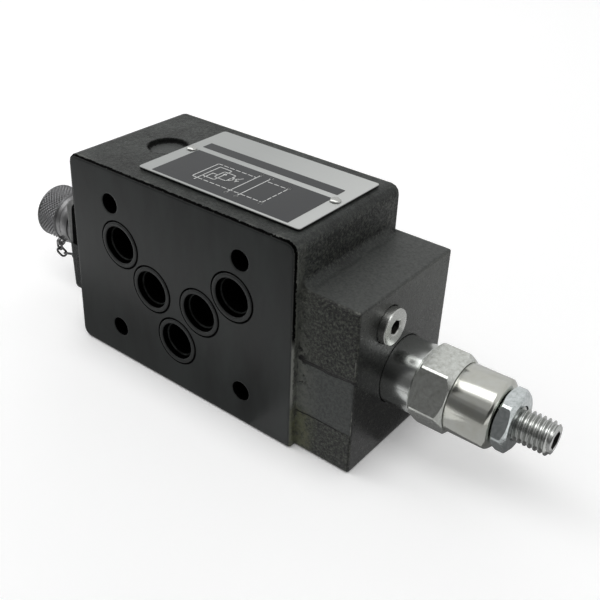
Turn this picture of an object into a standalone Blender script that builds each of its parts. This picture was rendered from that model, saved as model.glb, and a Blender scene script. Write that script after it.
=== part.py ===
"""Hydraulic sandwich valve: a stackable pressure reducing valve for the size 10 port pattern.

Frame: the origin is the centre of the bolt pattern on the port face. +X runs out along the
cartridge, +Y into the body from the port face, +Z up to the nameplate. Lengths are in metres.
"""

import math

import bmesh
import bpy
from mathutils import Matrix, Vector

for old in list(bpy.data.objects):
    bpy.data.objects.remove(old, do_unlink=True)

MM = 0.001

# Fits and clearances
GAP = 0.3 * MM
SEAL_GAP = 0.2 * MM

# Port pattern, each place measured from the lower left bolt
BOLT_PITCH_X = 54.0 * MM
BOLT_PITCH_Z = 46.0 * MM
BOLT_HOLE_R = 3.4 * MM
PORT_R = 5.5 * MM
PORT_P_X = 27.0 * MM
PORT_P_Z = 6.3 * MM
PORT_AB_X = 16.7 * MM
PORT_AB_Z = 21.4 * MM
PORT_T_X = 3.2 * MM
PORT_T_Z = 32.5 * MM
SEAL_WIDTH = 1.5 * MM
SEAL_PROUD = 0.3 * MM
SEAL_SOFT = 0.35 * MM
SEAL_SEAT_R = 8.0 * MM
SEAL_SEAT_DEPTH = 1.5 * MM

# Body casting
STACK = 50.0 * MM
HEIGHT = 70.0 * MM
FACE_RIGHT = 46.7 * MM
FACE_LEFT = 46.4 * MM
END_DRAFT = 1.4 * MM
CORNER_R = 3.0 * MM
LOW_CORNER_R = 0.8 * MM
FACE_BREAK = 0.9 * MM
REAR_BREAK = 0.4 * MM

# Cartridge end of the casting
BOSS_OUT = 19.8 * MM
BOSS_HEIGHT = 55.7 * MM
BOSS_SETBACK = 2.5 * MM
BOSS_REAR_SETBACK = 0.2 * MM
BOSS_FRONT_EDGE = 0.8 * MM
BOSS_REAR_EDGE = 0.8 * MM
BOSS_END_EDGE = 0.6 * MM
ROOT_FILLET = 3.0 * MM

# Test point end of the casting
PAD_OUT = 7.6 * MM
PAD_LOW = 15.0 * MM
PAD_HIGH = 49.0 * MM
PAD_SETBACK = 3.0 * MM
PAD_EDGE = 2.0 * MM
SPOT_DEPTH = 0.5 * MM
SPOT_R = 10.6 * MM

# Core recess in the top
RECESS_R = 6.6 * MM
RECESS_DEPTH = 1.6 * MM
RECESS_X = -25.8 * MM
RECESS_Y = 24.8 * MM

# Main axis, shared by the cartridge and the test point
AXIS_Y = 26.5 * MM
AXIS_Z = -10.0 * MM

# Cartridge cavity, from the boss face inwards
COLLAR_R = 10.8 * MM
COLLAR_DEPTH = 6.3 * MM
THREAD_R = 9.7 * MM
THREAD_LENGTH = 8.0 * MM
DRAIN_WIDTH = 5.0 * MM
DRAIN_R = 11.6 * MM
LAND_R = 8.8 * MM
LAND_LENGTH = 7.0 * MM
INLET_WIDTH = 7.0 * MM
INLET_R = 12.0 * MM
NOSE_R = 7.7 * MM
NOSE_LENGTH = 14.0 * MM
NOSE_ROOM = 1.0 * MM

# Passages inside the casting
PASSAGE_R = 3.1 * MM
INLET_PASSAGE_Y = 9.5 * MM
INLET_PORT_DEPTH = 14.0 * MM
OUTLET_PORT_DEPTH = 26.0 * MM
PASSAGE_DROP = 4.6 * MM
CROSS_PASSAGE_R = 2.8 * MM
GAUGE_PASSAGE_R = 2.0 * MM
GAUGE_PASSAGE_Y = 0.7 * MM
GAUGE_PASSAGE_DROP = 3.8 * MM
DRAIN_DRILL_R = 2.5 * MM
DRAIN_CROSS_R = 1.5 * MM

# Seals on the cartridge
RING_GROOVE = 1.75 * MM
RING_WIRE_R = 0.75 * MM
BACKUP_WIDTH = 1.0 * MM

# Visible cartridge, from the boss face outwards
COLLAR_OUT = 9.8 * MM
HEX_FLATS = 22.0 * MM
HEX_CORNER_R = 12.0 * MM
HEX_LENGTH = 10.9 * MM
HEX_TURN = 126.0
BONNET_R = 10.6 * MM
BONNET_LENGTH = 12.7 * MM
BONNET_CHAMFER = 1.1 * MM
SPIGOT_R = 8.2 * MM
SPIGOT_LENGTH = 7.0 * MM
SLEEVE_SPIGOT_R = 6.9 * MM
SLEEVE_SPIGOT_LENGTH = 6.0 * MM
SLEEVE_ROOM_R = 5.6 * MM

# Adjuster
SPINDLE_R = 5.0 * MM
SPINDLE_OUT = 10.6 * MM
SPINDLE_GRIP = 8.0 * MM
SOCKET_FLATS = 5.0 * MM
SOCKET_DEPTH = 6.0 * MM
NUT_FLATS = 17.0 * MM
NUT_CORNER_R = 9.45 * MM
NUT_HEIGHT = 4.8 * MM
NUT_TURN = 124.5
PLATE_R = 5.9 * MM
PLATE_LENGTH = 6.0 * MM
TRAVEL_OUT = 1.5 * MM
PILOT_R = 2.9 * MM
PILOT_LENGTH = 3.0 * MM

# Spool and main spring
SPOOL_R = 3.7 * MM
SPOOL_WAIST_R = 2.5 * MM
SPOOL_WAIST = 4.5 * MM
SPOOL_BORE_R = 1.4 * MM
GUIDE_FLANGE = 1.7 * MM
METER_HOLE_R = 1.3 * MM
SPRING_R = 4.3 * MM
SPRING_WIRE_R = 0.7 * MM
SPRING_TURNS = 7

# Drain plug beside the cartridge
PLUG_Y = 17.3 * MM
PLUG_Z = 10.3 * MM
PLUG_HEAD_R = 5.6 * MM
PLUG_STANDS_OUT = 2.5 * MM
PLUG_SPOT_DEPTH = 2.0 * MM
PLUG_WASHER = 1.0 * MM
PLUG_THREAD_R = 3.9 * MM
PLUG_THREAD_LENGTH = 8.0 * MM
PLUG_SOCKET_FLATS = 4.0 * MM
PLUG_SOCKET_DEPTH = 3.2 * MM

# Test point
TP_THREAD_R = 6.3 * MM
TP_THREAD_LENGTH = 13.0 * MM
TP_WASHER = 1.2 * MM
TP_WASHER_R = 9.2 * MM
TP_FLANGE_R = 9.4 * MM
TP_FLANGE = 1.0 * MM
TP_HEX_FLATS = 19.0 * MM
TP_HEX_CORNER_R = 10.7 * MM
TP_HEX_LENGTH = 14.0 * MM
TP_HEX_TURN = 100.0
TP_NECK_R = 8.4 * MM
TP_NECK_LENGTH = 4.0 * MM
TP_NOSE_R = 7.7 * MM
TP_NOSE_LENGTH = 11.6 * MM
TP_BORE_R = 1.5 * MM
TP_ROOM_R = 2.9 * MM
TP_ROOM_LENGTH = 15.0 * MM
TP_MOUTH_R = 3.6 * MM
TP_MOUTH_DEPTH = 3.0 * MM
TP_SEAT = 1.5 * MM
BALL_R = 2.0 * MM
BALL_HOLE_R = 1.3 * MM
CHECK_WIRE_R = 0.3 * MM
CHECK_TURNS = 5

# Dust cap and its chain
CAP_R = 10.1 * MM
CAP_SKIRT_R = 9.7 * MM
CAP_SKIRT = 3.9 * MM
CAP_GROOVE = 2.0 * MM
CAP_GROOVE_R = 9.0 * MM
CAP_GRIP = 10.7 * MM
CAP_ROUND = 0.9 * MM
CAP_WASHER = 1.2 * MM
CAP_RING_WIDTH = 1.4 * MM
CAP_RING_THICK = 0.7 * MM
NECK_RING_WIDTH = 3.0 * MM
NECK_RING_THICK = 0.9 * MM
EAR_R = 1.7 * MM
CHAIN_R = 0.8 * MM
CHAIN_SAG = 4.5 * MM
EAR_TURN = -145.0
NECK_EAR_TURN = -60.0
PLUG_SOCKET_TURN = 30
SPINDLE_SOCKET_TURN = 10

# Nameplate
PLATE_LEFT = -19.2 * MM
PLATE_WIDTH = 62.1 * MM
PLATE_FRONT = 6.0 * MM
PLATE_DEPTH = 38.7 * MM
PLATE_THICK = 0.7 * MM
PLATE_CORNER_R = 1.0 * MM
RIVET_INSET = 2.7 * MM
RIVET_HEAD_R = 1.7 * MM
RIVET_HEAD = 0.8 * MM
RIVET_SHANK_R = 1.0 * MM
RIVET_LENGTH = 5.0 * MM

# Roundness of the facets
FINE_SIDES = 30
ROUND_SIDES = 26
MEDIUM_SIDES = 20
SMALL_SIDES = 16
TINY_SIDES = 8
RING_SIDES = 6
COIL_STEPS = 10


def material(name, colour, roughness, metallic):
    made = bpy.data.materials.new(name)
    made.use_nodes = True
    shader = made.node_tree.nodes["Principled BSDF"]
    shader.inputs["Base Color"].default_value = (*colour, 1.0)
    shader.inputs["Roughness"].default_value = roughness
    shader.inputs["Metallic"].default_value = metallic
    return made


CAST = material("body_cast", (0.050, 0.053, 0.051), 0.55, 0.35)
ZINC = material("zinc_steel", (0.62, 0.62, 0.58), 0.28, 1.0)
DULL = material("dull_steel", (0.30, 0.30, 0.31), 0.45, 1.0)
STEEL = material("ground_steel", (0.50, 0.51, 0.53), 0.25, 1.0)
SPRING = material("spring_steel", (0.22, 0.22, 0.23), 0.35, 1.0)
RUBBER = material("seal_rubber", (0.012, 0.012, 0.012), 0.45, 0.0)
BACKUP = material("backup_plastic", (0.75, 0.74, 0.70), 0.5, 0.0)
PLATE = material("plate_alloy", (0.66, 0.67, 0.66), 0.38, 0.9)


def node(name, bm, skin, place=(0, 0, 0)):
    """A finished mesh becomes a named object with its own copy of the finish."""
    bmesh.ops.recalc_face_normals(bm, faces=bm.faces)
    mesh = bpy.data.meshes.new(name)
    bm.to_mesh(mesh)
    bm.free()
    mesh.shade_smooth()
    mesh.set_sharp_from_angle(angle=math.radians(32))
    made = bpy.data.objects.new(name, mesh)
    made.location = place
    bpy.context.scene.collection.objects.link(made)
    if skin is not None:
        own = skin.copy()
        own.name = name + "_finish"
        mesh.materials.append(own)
    return made


def cutter(name, bm, place=(0, 0, 0)):
    made = node(name, bm, None, place)
    made.hide_render = True
    made.display_type = "WIRE"
    return made


def boolean(target, tool, how="DIFFERENCE"):
    step = target.modifiers.new(tool.name, "BOOLEAN")
    step.operation = how
    step.object = tool
    step.solver = "EXACT"


def frame_along(axis):
    """Turns local +X onto the given direction."""
    return Vector((1, 0, 0)).rotation_difference(Vector(axis)).to_matrix().to_4x4()


def turned(profile, steps, axis=(1, 0, 0), closed=True):
    """Spins a profile of (along, radius) pairs about the axis. An open one starts and ends on it."""
    bm = bmesh.new()
    points = [bm.verts.new((along, 0, radius)) for along, radius in profile]
    edges = [bm.edges.new(pair) for pair in zip(points, points[1:])]
    if closed:
        edges.append(bm.edges.new((points[-1], points[0])))
    bmesh.ops.spin(
        bm,
        geom=points + edges,
        cent=(0, 0, 0),
        axis=(1, 0, 0),
        dvec=(0, 0, 0),
        angle=math.tau,
        steps=steps,
        use_merge=True,
        use_duplicate=False,
    )
    bmesh.ops.remove_doubles(bm, verts=bm.verts, dist=1e-6)
    bmesh.ops.transform(bm, matrix=frame_along(axis), verts=bm.verts)
    return bm


def rod(start, end, radius, steps):
    """A plain cylinder between two points."""
    start, end = Vector(start), Vector(end)
    length = (end - start).length
    bm = turned([(0, 0), (0, radius), (length, radius), (length, 0)], steps, end - start, False)
    bmesh.ops.translate(bm, vec=start, verts=bm.verts)
    return bm


def prism(outline, start, end):
    """An outline of (y, z) pairs drawn out along X."""
    bm = bmesh.new()
    bottom = bm.faces.new([bm.verts.new((start, y, z)) for y, z in outline])
    drawn = bmesh.ops.extrude_face_region(bm, geom=[bottom])["geom"]
    moved = [item for item in drawn if isinstance(item, bmesh.types.BMVert)]
    bmesh.ops.translate(bm, vec=(end - start, 0, 0), verts=moved)
    return bm


def hexagon(flats, turn):
    radius = flats / math.sqrt(3)
    angles = [math.radians(turn + 60 * k) for k in range(6)]
    return [(radius * math.cos(a), radius * math.sin(a)) for a in angles]


def spanner_flats(flats, turn, start, end, reach):
    """What a mill takes off a round blank to leave six flats: a hexagonal tube."""
    bm = bmesh.new()
    rings = []
    for x in (start, end):
        for size in (flats, 2 * reach):
            rings.append([bm.verts.new((x, y, z)) for y, z in hexagon(size, turn)])
    low_in, low_out, high_in, high_out = rings
    for k in range(6):
        n = (k + 1) % 6
        bm.faces.new((low_in[k], low_in[n], low_out[n], low_out[k]))
        bm.faces.new((high_in[k], high_out[k], high_out[n], high_in[n]))
        bm.faces.new((low_in[k], high_in[k], high_in[n], low_in[n]))
        bm.faces.new((low_out[k], low_out[n], high_out[n], high_out[k]))
    return bm


def ring_profile(centre, radius, wire):
    """The round section of a seal ring."""
    angles = [math.tau * (k + 0.5) / RING_SIDES for k in range(RING_SIDES)]
    return [(centre + wire * math.cos(a), radius + wire * math.sin(a)) for a in angles]


def coil(name, start, end, radius, wire, turns, rounding, place):
    """A compression spring along X with one closed turn at each end."""
    per_turn = COIL_STEPS
    count = turns * per_turn
    low, high = start + wire, end - wire
    rise = 2.15 * wire
    path = []
    for k in range(count + 1):
        turn = k / per_turn
        if turn < 1:
            along = low + rise * turn
        elif turn > turns - 1:
            along = high - rise * (turns - turn)
        else:
            along = low + rise + (high - low - 2 * rise) * (turn - 1) / (turns - 2)
        angle = math.tau * turn
        path.append((along, radius * math.cos(angle), radius * math.sin(angle)))
    return wire_curve(name, path, wire, rounding, SPRING, place)


def wire_curve(name, path, wire, rounding, skin, place):
    curve = bpy.data.curves.new(name, "CURVE")
    curve.dimensions = "3D"
    curve.bevel_depth = wire
    curve.bevel_resolution = rounding
    curve.use_fill_caps = True
    line = curve.splines.new("POLY")
    line.points.add(len(path) - 1)
    for point, spot in zip(line.points, path):
        point.co = (*spot, 1.0)
    own = skin.copy()
    own.name = name + "_finish"
    curve.materials.append(own)
    made = bpy.data.objects.new(name, curve)
    made.location = place
    bpy.context.scene.collection.objects.link(made)
    return made


def block(x0, x1, y0, y1, z0, z1):
    bm = bmesh.new()
    bmesh.ops.create_cube(bm, size=1.0)
    size = Matrix.Diagonal((x1 - x0, y1 - y0, z1 - z0, 1.0))
    bmesh.ops.transform(bm, matrix=size, verts=bm.verts)
    middle = Vector(((x0 + x1) / 2, (y0 + y1) / 2, (z0 + z1) / 2))
    bmesh.ops.translate(bm, vec=middle, verts=bm.verts)
    return bm


def round_edges(bm, chosen, width, segments):
    bmesh.ops.bevel(
        bm,
        geom=chosen,
        offset=width,
        offset_type="OFFSET",
        segments=segments,
        profile=0.5,
        affect="EDGES",
        clamp_overlap=True,
        material=-1,
    )


def along_axis(bm, index):
    """Straight edges that run along one axis."""
    found = []
    for edge in bm.edges:
        run = edge.verts[1].co - edge.verts[0].co
        if abs(run[index]) > 0.9 * run.length:
            found.append(edge)
    return found


def face_loop(bm, index, value):
    """Edges that lie in one plane, around an outer face."""
    def on(vert):
        return abs(vert.co[index] - value) < 1e-6

    return [edge for edge in bm.edges if on(edge.verts[0]) and on(edge.verts[1])]


# Places that follow from the sizes
FLOOR = -HEIGHT / 2
CEILING = HEIGHT / 2
BOSS_END = FACE_RIGHT + BOSS_OUT
BOSS_TOP = FLOOR + BOSS_HEIGHT
PAD_END = -(FACE_LEFT + PAD_OUT)
AXIS = (0, AXIS_Y, AXIS_Z)


def on_face(x, z):
    """A place of the port pattern, from the lower left bolt to the row's frame."""
    return x - BOLT_PITCH_X / 2, z - BOLT_PITCH_Z / 2


PORT_P = on_face(PORT_P_X, PORT_P_Z)
PORT_A = on_face(PORT_AB_X, PORT_AB_Z)
PORT_B = on_face(BOLT_PITCH_X - PORT_AB_X, PORT_AB_Z)
PORT_T = on_face(PORT_T_X, PORT_T_Z)
PORT_T1 = on_face(BOLT_PITCH_X - PORT_T_X, PORT_T_Z)

x_step = BOSS_END - COLLAR_DEPTH
x_thread = x_step - THREAD_LENGTH
x_drain = x_thread - DRAIN_WIDTH
x_land = x_drain - LAND_LENGTH
x_inlet = x_land - INLET_WIDTH
x_nose = x_inlet - NOSE_LENGTH
x_hex = BOSS_END + COLLAR_OUT
x_hex_end = x_hex + HEX_LENGTH
x_bonnet = x_hex_end + GAP
x_bonnet_end = x_bonnet + BONNET_LENGTH
x_spigot = x_hex_end - SPIGOT_LENGTH
x_nut = x_bonnet_end + GAP
x_nut_end = x_nut + NUT_HEIGHT
x_tip = x_nut_end + SPINDLE_OUT
x_bore_end = x_bonnet_end - SPINDLE_GRIP
x_plate_back = x_bore_end - TRAVEL_OUT - GAP
x_plate_front = x_plate_back - PLATE_LENGTH
x_drain_middle = x_thread - DRAIN_WIDTH / 2
x_inlet_middle = x_inlet + INLET_WIDTH / 2
x_guide_seat = x_land + LAND_LENGTH / 2

SEAT_R = SEAL_SEAT_R
BORE_R = NOSE_R + GAP


# The casting: body, cartridge boss and test point pad, run together with a root fillet
bm = block(-FACE_LEFT, FACE_RIGHT, 0, STACK, FLOOR, CEILING)
for vert in bm.verts:
    if vert.co.x < 0:
        vert.co.x += END_DRAFT * (1 if vert.co.z > 0 else -1)
low_corner = [e for e in along_axis(bm, 1) if e.verts[0].co.x > 0 > e.verts[0].co.z]
round_edges(bm, low_corner, LOW_CORNER_R, 2)
tall_corners = [e for e in along_axis(bm, 1) if e.verts[0].co.x < 0 or e.verts[0].co.z > 0]
round_edges(bm, tall_corners, CORNER_R, 3)
round_edges(bm, face_loop(bm, 1, 0), FACE_BREAK, 2)
round_edges(bm, face_loop(bm, 1, STACK), REAR_BREAK, 2)
body = node("valve_body", bm, CAST)

boss_rear = STACK - BOSS_REAR_SETBACK
bm = block(FACE_RIGHT - 3 * CORNER_R, BOSS_END, BOSS_SETBACK, boss_rear, FLOOR, BOSS_TOP)
front = [edge for edge in along_axis(bm, 0) if edge.verts[0].co.y < boss_rear / 2]
round_edges(bm, front, BOSS_FRONT_EDGE, 2)
rear = [edge for edge in along_axis(bm, 0) if min(v.co.y for v in edge.verts) > boss_rear - MM / 10]
round_edges(bm, rear, BOSS_REAR_EDGE, 3)
round_edges(bm, face_loop(bm, 0, BOSS_END), BOSS_END_EDGE, 2)
boolean(body, cutter("form_boss", bm), "UNION")

bm = block(PAD_END, -FACE_LEFT + 3 * CORNER_R, PAD_SETBACK, STACK - PAD_SETBACK,
           FLOOR + PAD_LOW, FLOOR + PAD_HIGH)
round_edges(bm, along_axis(bm, 0), PAD_EDGE, 3)
round_edges(bm, face_loop(bm, 0, PAD_END), PAD_EDGE / 2, 2)
boolean(body, cutter("form_pad", bm), "UNION")

sink = ROOT_FILLET / 60
deep = ROOT_FILLET
bm = bmesh.new()
centre = FACE_RIGHT + ROOT_FILLET - sink, BOSS_TOP + ROOT_FILLET - sink
outline = [(FACE_RIGHT - deep, BOSS_TOP - deep), (centre[0], BOSS_TOP - deep)]
for k in range(6):
    a = math.radians(270 - 18 * k)
    outline.append((centre[0] + ROOT_FILLET * math.cos(a), centre[1] + ROOT_FILLET * math.sin(a)))
outline.append((FACE_RIGHT - deep, centre[1]))
side_start = BOSS_SETBACK + 1.1 * BOSS_FRONT_EDGE
side_end = boss_rear - 1.1 * max(BOSS_REAR_EDGE, CORNER_R)
bottom = bm.faces.new([bm.verts.new((x, side_start, z)) for x, z in outline])
drawn = bmesh.ops.extrude_face_region(bm, geom=[bottom])["geom"]
moved = [item for item in drawn if isinstance(item, bmesh.types.BMVert)]
bmesh.ops.translate(bm, vec=(0, side_end - side_start, 0), verts=moved)
boolean(body, cutter("form_root_fillet", bm), "UNION")

# Ports: four run right through, and the pressure port is split by the valve
OVER = 2.0 * MM
for name, (x, z) in (("A", PORT_A), ("B", PORT_B), ("T", PORT_T), ("T1", PORT_T1)):
    profile = [
        (-OVER, 0), (-OVER, SEAT_R), (SEAL_SEAT_DEPTH, SEAT_R), (SEAL_SEAT_DEPTH, PORT_R),
        (STACK + OVER, PORT_R), (STACK + OVER, 0),
    ]
    boolean(body, cutter("cut_port_" + name, turned(profile, ROUND_SIDES, (0, 1, 0), False), (x, 0, z)))

profile = [
    (-OVER, 0), (-OVER, SEAT_R), (SEAL_SEAT_DEPTH, SEAT_R), (SEAL_SEAT_DEPTH, PORT_R),
    (INLET_PORT_DEPTH, PORT_R), (INLET_PORT_DEPTH + PORT_R / 3, 0),
]
place = (PORT_P[0], 0, PORT_P[1])
boolean(body, cutter("cut_port_P_in", turned(profile, ROUND_SIDES, (0, 1, 0), False), place))
top = STACK - OUTLET_PORT_DEPTH
profile = [(top - PORT_R / 3, 0), (top, PORT_R), (STACK + OVER, PORT_R), (STACK + OVER, 0)]
boolean(body, cutter("cut_port_P_out", turned(profile, ROUND_SIDES, (0, 1, 0), False), place))

for side_x in (0, 1):
    for side_z in (0, 1):
        x, z = on_face(side_x * BOLT_PITCH_X, side_z * BOLT_PITCH_Z)
        bm = rod((x, -OVER, z), (x, STACK + OVER, z), BOLT_HOLE_R, SMALL_SIDES)
        boolean(body, cutter(f"cut_bolt_{side_x}{side_z}", bm))

# Cartridge cavity, one stepped bore with its two galleries
profile = [
    (BOSS_END + OVER, 0),
    (BOSS_END + OVER, COLLAR_R + GAP),
    (x_step, COLLAR_R + GAP),
    (x_step, THREAD_R + GAP),
    (x_thread, THREAD_R + GAP),
    (x_thread, DRAIN_R),
    (x_drain, DRAIN_R),
    (x_drain, LAND_R + GAP),
    (x_land, LAND_R + GAP),
    (x_land, INLET_R),
    (x_inlet, INLET_R),
    (x_inlet, BORE_R),
    (x_nose, BORE_R),
    (x_nose, 0),
]
boolean(body, cutter("cut_cartridge_cavity", turned(profile, ROUND_SIDES, closed=False), AXIS))

passage_z = AXIS_Z - PASSAGE_DROP
port_start = PORT_P[0] - PORT_R / 4
inlet_end = x_inlet_middle + PASSAGE_R
bm = rod((port_start, INLET_PASSAGE_Y, passage_z), (inlet_end, INLET_PASSAGE_Y, passage_z),
         PASSAGE_R, SMALL_SIDES)
boolean(body, cutter("cut_inlet_passage", bm))
bm = rod((x_inlet_middle, INLET_PASSAGE_Y, passage_z),
         (x_inlet_middle, AXIS_Y - BORE_R, passage_z), CROSS_PASSAGE_R, SMALL_SIDES)
boolean(body, cutter("cut_inlet_cross", bm))
outlet_y = AXIS_Y + PASSAGE_R
bm = rod((port_start, outlet_y, passage_z), (x_nose + BORE_R / 2, outlet_y, passage_z),
         PASSAGE_R, SMALL_SIDES)
boolean(body, cutter("cut_outlet_passage", bm))
gauge_y = AXIS_Y + GAUGE_PASSAGE_Y
gauge_z = AXIS_Z - GAUGE_PASSAGE_DROP
x_seat = PAD_END + SPOT_DEPTH
x_gauge = x_seat + TP_THREAD_LENGTH
bm = rod((-port_start, gauge_y, gauge_z), (x_gauge - OVER, gauge_y, gauge_z),
         GAUGE_PASSAGE_R, TINY_SIDES)
boolean(body, cutter("cut_gauge_passage", bm))

profile = [
    (PAD_END - OVER, 0), (PAD_END - OVER, SPOT_R), (x_seat, SPOT_R), (x_seat, TP_THREAD_R + GAP),
    (x_gauge + GAP, TP_THREAD_R + GAP), (x_gauge + GAP + TP_THREAD_R / 3, 0),
]
boolean(body, cutter("cut_test_point", turned(profile, MEDIUM_SIDES, closed=False), AXIS))

# Drain drilling: in from the boss face to the tank port, closed by the plug
x_plug_spot = BOSS_END - PLUG_SPOT_DEPTH
x_plug_bore = x_plug_spot - PLUG_THREAD_LENGTH - GAP
profile = [
    (BOSS_END + OVER, 0), (BOSS_END + OVER, PLUG_HEAD_R + GAP), (x_plug_spot, PLUG_HEAD_R + GAP),
    (x_plug_spot, PLUG_THREAD_R + GAP), (x_plug_bore, PLUG_THREAD_R + GAP),
    (x_plug_bore - OVER / 2, DRAIN_DRILL_R), (PORT_T1[0], DRAIN_DRILL_R), (PORT_T1[0], 0),
]
place = (0, PLUG_Y, PLUG_Z)
boolean(body, cutter("cut_drain_drilling", turned(profile, SMALL_SIDES, closed=False), place))
start = Vector((x_drain_middle, AXIS_Y, AXIS_Z))
end = Vector((x_drain_middle, PLUG_Y, PLUG_Z))
start += (end - start).normalized() * THREAD_R
boolean(body, cutter("cut_drain_cross", rod(start, end, DRAIN_CROSS_R, TINY_SIDES)))

bm = rod((RECESS_X, RECESS_Y, CEILING - RECESS_DEPTH), (RECESS_X, RECESS_Y, CEILING + OVER),
         RECESS_R, MEDIUM_SIDES)
boolean(body, cutter("cut_top_recess", bm))

# Nameplate and its two drive rivets
rivet_y = PLATE_FRONT + PLATE_DEPTH / 2 + RIVET_SHANK_R
rivet_spots = {
    "nameplate_rivet_left": PLATE_LEFT + RIVET_INSET,
    "nameplate_rivet_right": PLATE_LEFT + PLATE_WIDTH - 1.1 * RIVET_INSET,
}
plate_low = CEILING + GAP
plate_high = plate_low + PLATE_THICK
bm = block(PLATE_LEFT, PLATE_LEFT + PLATE_WIDTH, PLATE_FRONT, PLATE_FRONT + PLATE_DEPTH,
           plate_low, plate_high)
round_edges(bm, along_axis(bm, 2), PLATE_CORNER_R, 4)
nameplate = node("nameplate", bm, PLATE)
for name, x in rivet_spots.items():
    depth = plate_low - GAP - RIVET_LENGTH
    hole = rod((x, rivet_y, depth - GAP), (x, rivet_y, plate_high + OVER),
               RIVET_SHANK_R + GAP, TINY_SIDES)
    tool = cutter("cut_" + name, hole)
    boolean(body, tool)
    boolean(nameplate, tool)
    head = plate_high + GAP
    profile = [(depth, 0), (depth, RIVET_SHANK_R), (head, RIVET_SHANK_R), (head, RIVET_HEAD_R)]
    for k in range(1, 5):
        a = math.radians(22.5 * k)
        profile.append((head + RIVET_HEAD * math.sin(a), RIVET_HEAD_R * math.cos(a)))
    profile[-1] = (head + RIVET_HEAD, 0)
    node(name, turned(profile, TINY_SIDES, (0, 0, 1), False), ZINC, (x, rivet_y, 0))

# Port seals in their seats
seal_out = SEAT_R - SEAL_GAP
seal_in = seal_out - SEAL_WIDTH
for name, (x, z) in (
    ("p", PORT_P), ("a", PORT_A), ("b", PORT_B), ("t", PORT_T), ("t1", PORT_T1)
):
    profile = [
        (SEAL_SEAT_DEPTH - SEAL_GAP, seal_in),
        (SEAL_SEAT_DEPTH - SEAL_GAP, seal_out),
        (SEAL_SOFT - SEAL_PROUD, seal_out),
        (-SEAL_PROUD, seal_out - SEAL_SOFT),
        (-SEAL_PROUD, seal_in + SEAL_SOFT),
        (SEAL_SOFT - SEAL_PROUD, seal_in),
    ]
    node("port_seal_" + name, turned(profile, ROUND_SIDES, (0, 1, 0)), RUBBER, (x, 0, z))

# Drain plug: a headed hexagon socket screw on a sealing washer
head_in = x_plug_spot + PLUG_WASHER + 2 * GAP
head_out = BOSS_END + PLUG_STANDS_OUT
thread_in = x_plug_spot - PLUG_THREAD_LENGTH
soft = PLUG_HEAD_R / 10
profile = [
    (thread_in, 0), (thread_in, PLUG_THREAD_R - soft), (thread_in + soft, PLUG_THREAD_R),
    (head_in, PLUG_THREAD_R), (head_in, PLUG_HEAD_R), (head_out - soft / 2, PLUG_HEAD_R),
    (head_out, PLUG_HEAD_R - soft / 2), (head_out, 0),
]
plug = node("drain_plug", turned(profile, MEDIUM_SIDES, closed=False), ZINC, (0, PLUG_Y, PLUG_Z))
bm = prism(hexagon(PLUG_SOCKET_FLATS, PLUG_SOCKET_TURN), head_out - PLUG_SOCKET_DEPTH, head_out + OVER)
boolean(plug, cutter("cut_plug_socket", bm, (0, PLUG_Y, PLUG_Z)))
profile = [
    (x_plug_spot + GAP, PLUG_THREAD_R + GAP), (x_plug_spot + GAP, PLUG_HEAD_R),
    (x_plug_spot + GAP + PLUG_WASHER, PLUG_HEAD_R),
    (x_plug_spot + GAP + PLUG_WASHER, PLUG_THREAD_R + GAP),
]
node("drain_plug_washer", turned(profile, SMALL_SIDES), DULL, (0, PLUG_Y, PLUG_Z))


def groove(at, outer):
    """The section of a seal groove, cut from the outer radius, as profile points."""
    floor = outer - RING_GROOVE + SEAL_GAP
    width = 2 * (RING_WIRE_R + SEAL_GAP)
    return [(at, outer), (at, floor), (at + width, floor), (at + width, outer)]


def groove_ring(name, at, outer, steps):
    """The seal ring that fills such a groove and reaches the bore round it."""
    middle = at + RING_WIRE_R + SEAL_GAP
    radius = outer + GAP - SEAL_GAP - RING_WIRE_R
    return node(name, turned(ring_profile(middle, radius, RING_WIRE_R), steps), RUBBER, AXIS)


def backed_groove(at, outer):
    """A groove with room for a backup ring behind the seal."""
    points = groove(at, outer)
    wider = BACKUP_WIDTH + SEAL_GAP
    return points[:2] + [(x + wider, r) for x, r in points[2:]]


def backup_ring(name, at, outer):
    start = at + 2 * (RING_WIRE_R + SEAL_GAP)
    floor = outer - RING_GROOVE + SEAL_GAP + SEAL_GAP
    reach = outer + SEAL_GAP / 2
    end = start + BACKUP_WIDTH
    profile = [(start, floor), (start, reach), (end, reach), (end, floor)]
    return node(name, turned(profile, SMALL_SIDES), BACKUP, AXIS)


# Cartridge body: thread, sealed collar and hexagon, turned from one bar
x_inner = x_thread + GAP
room_r = PLATE_R + GAP
chamfer = THREAD_R / 12
undercut = THREAD_R * 0.92
hex_break = HEX_CORNER_R / 30
x_sleeve_end = x_thread + SLEEVE_SPIGOT_LENGTH
x_collar_seal = x_step + COLLAR_DEPTH / 3
profile = [
    (x_inner, SLEEVE_SPIGOT_R + GAP),
    (x_inner, THREAD_R - chamfer),
    (x_inner + chamfer, THREAD_R),
    (x_step - 2 * chamfer, THREAD_R),
    (x_step - 2 * chamfer, undercut),
    (x_step + GAP, undercut),
    (x_step + GAP, COLLAR_R - chamfer / 2),
    (x_step + GAP + chamfer / 2, COLLAR_R),
    *groove(x_collar_seal, COLLAR_R),
    (x_hex, COLLAR_R),
    (x_hex, HEX_CORNER_R - hex_break),
    (x_hex + hex_break, HEX_CORNER_R),
    (x_hex_end - 3 * hex_break, HEX_CORNER_R),
    (x_hex_end, BONNET_R),
    (x_hex_end, SPIGOT_R + GAP),
    (x_spigot - GAP, SPIGOT_R + GAP),
    (x_spigot - GAP, room_r),
    (x_sleeve_end + GAP, room_r),
    (x_sleeve_end + GAP, SLEEVE_SPIGOT_R + GAP),
]
cartridge = node("cartridge_body", turned(profile, FINE_SIDES), ZINC, AXIS)
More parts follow.
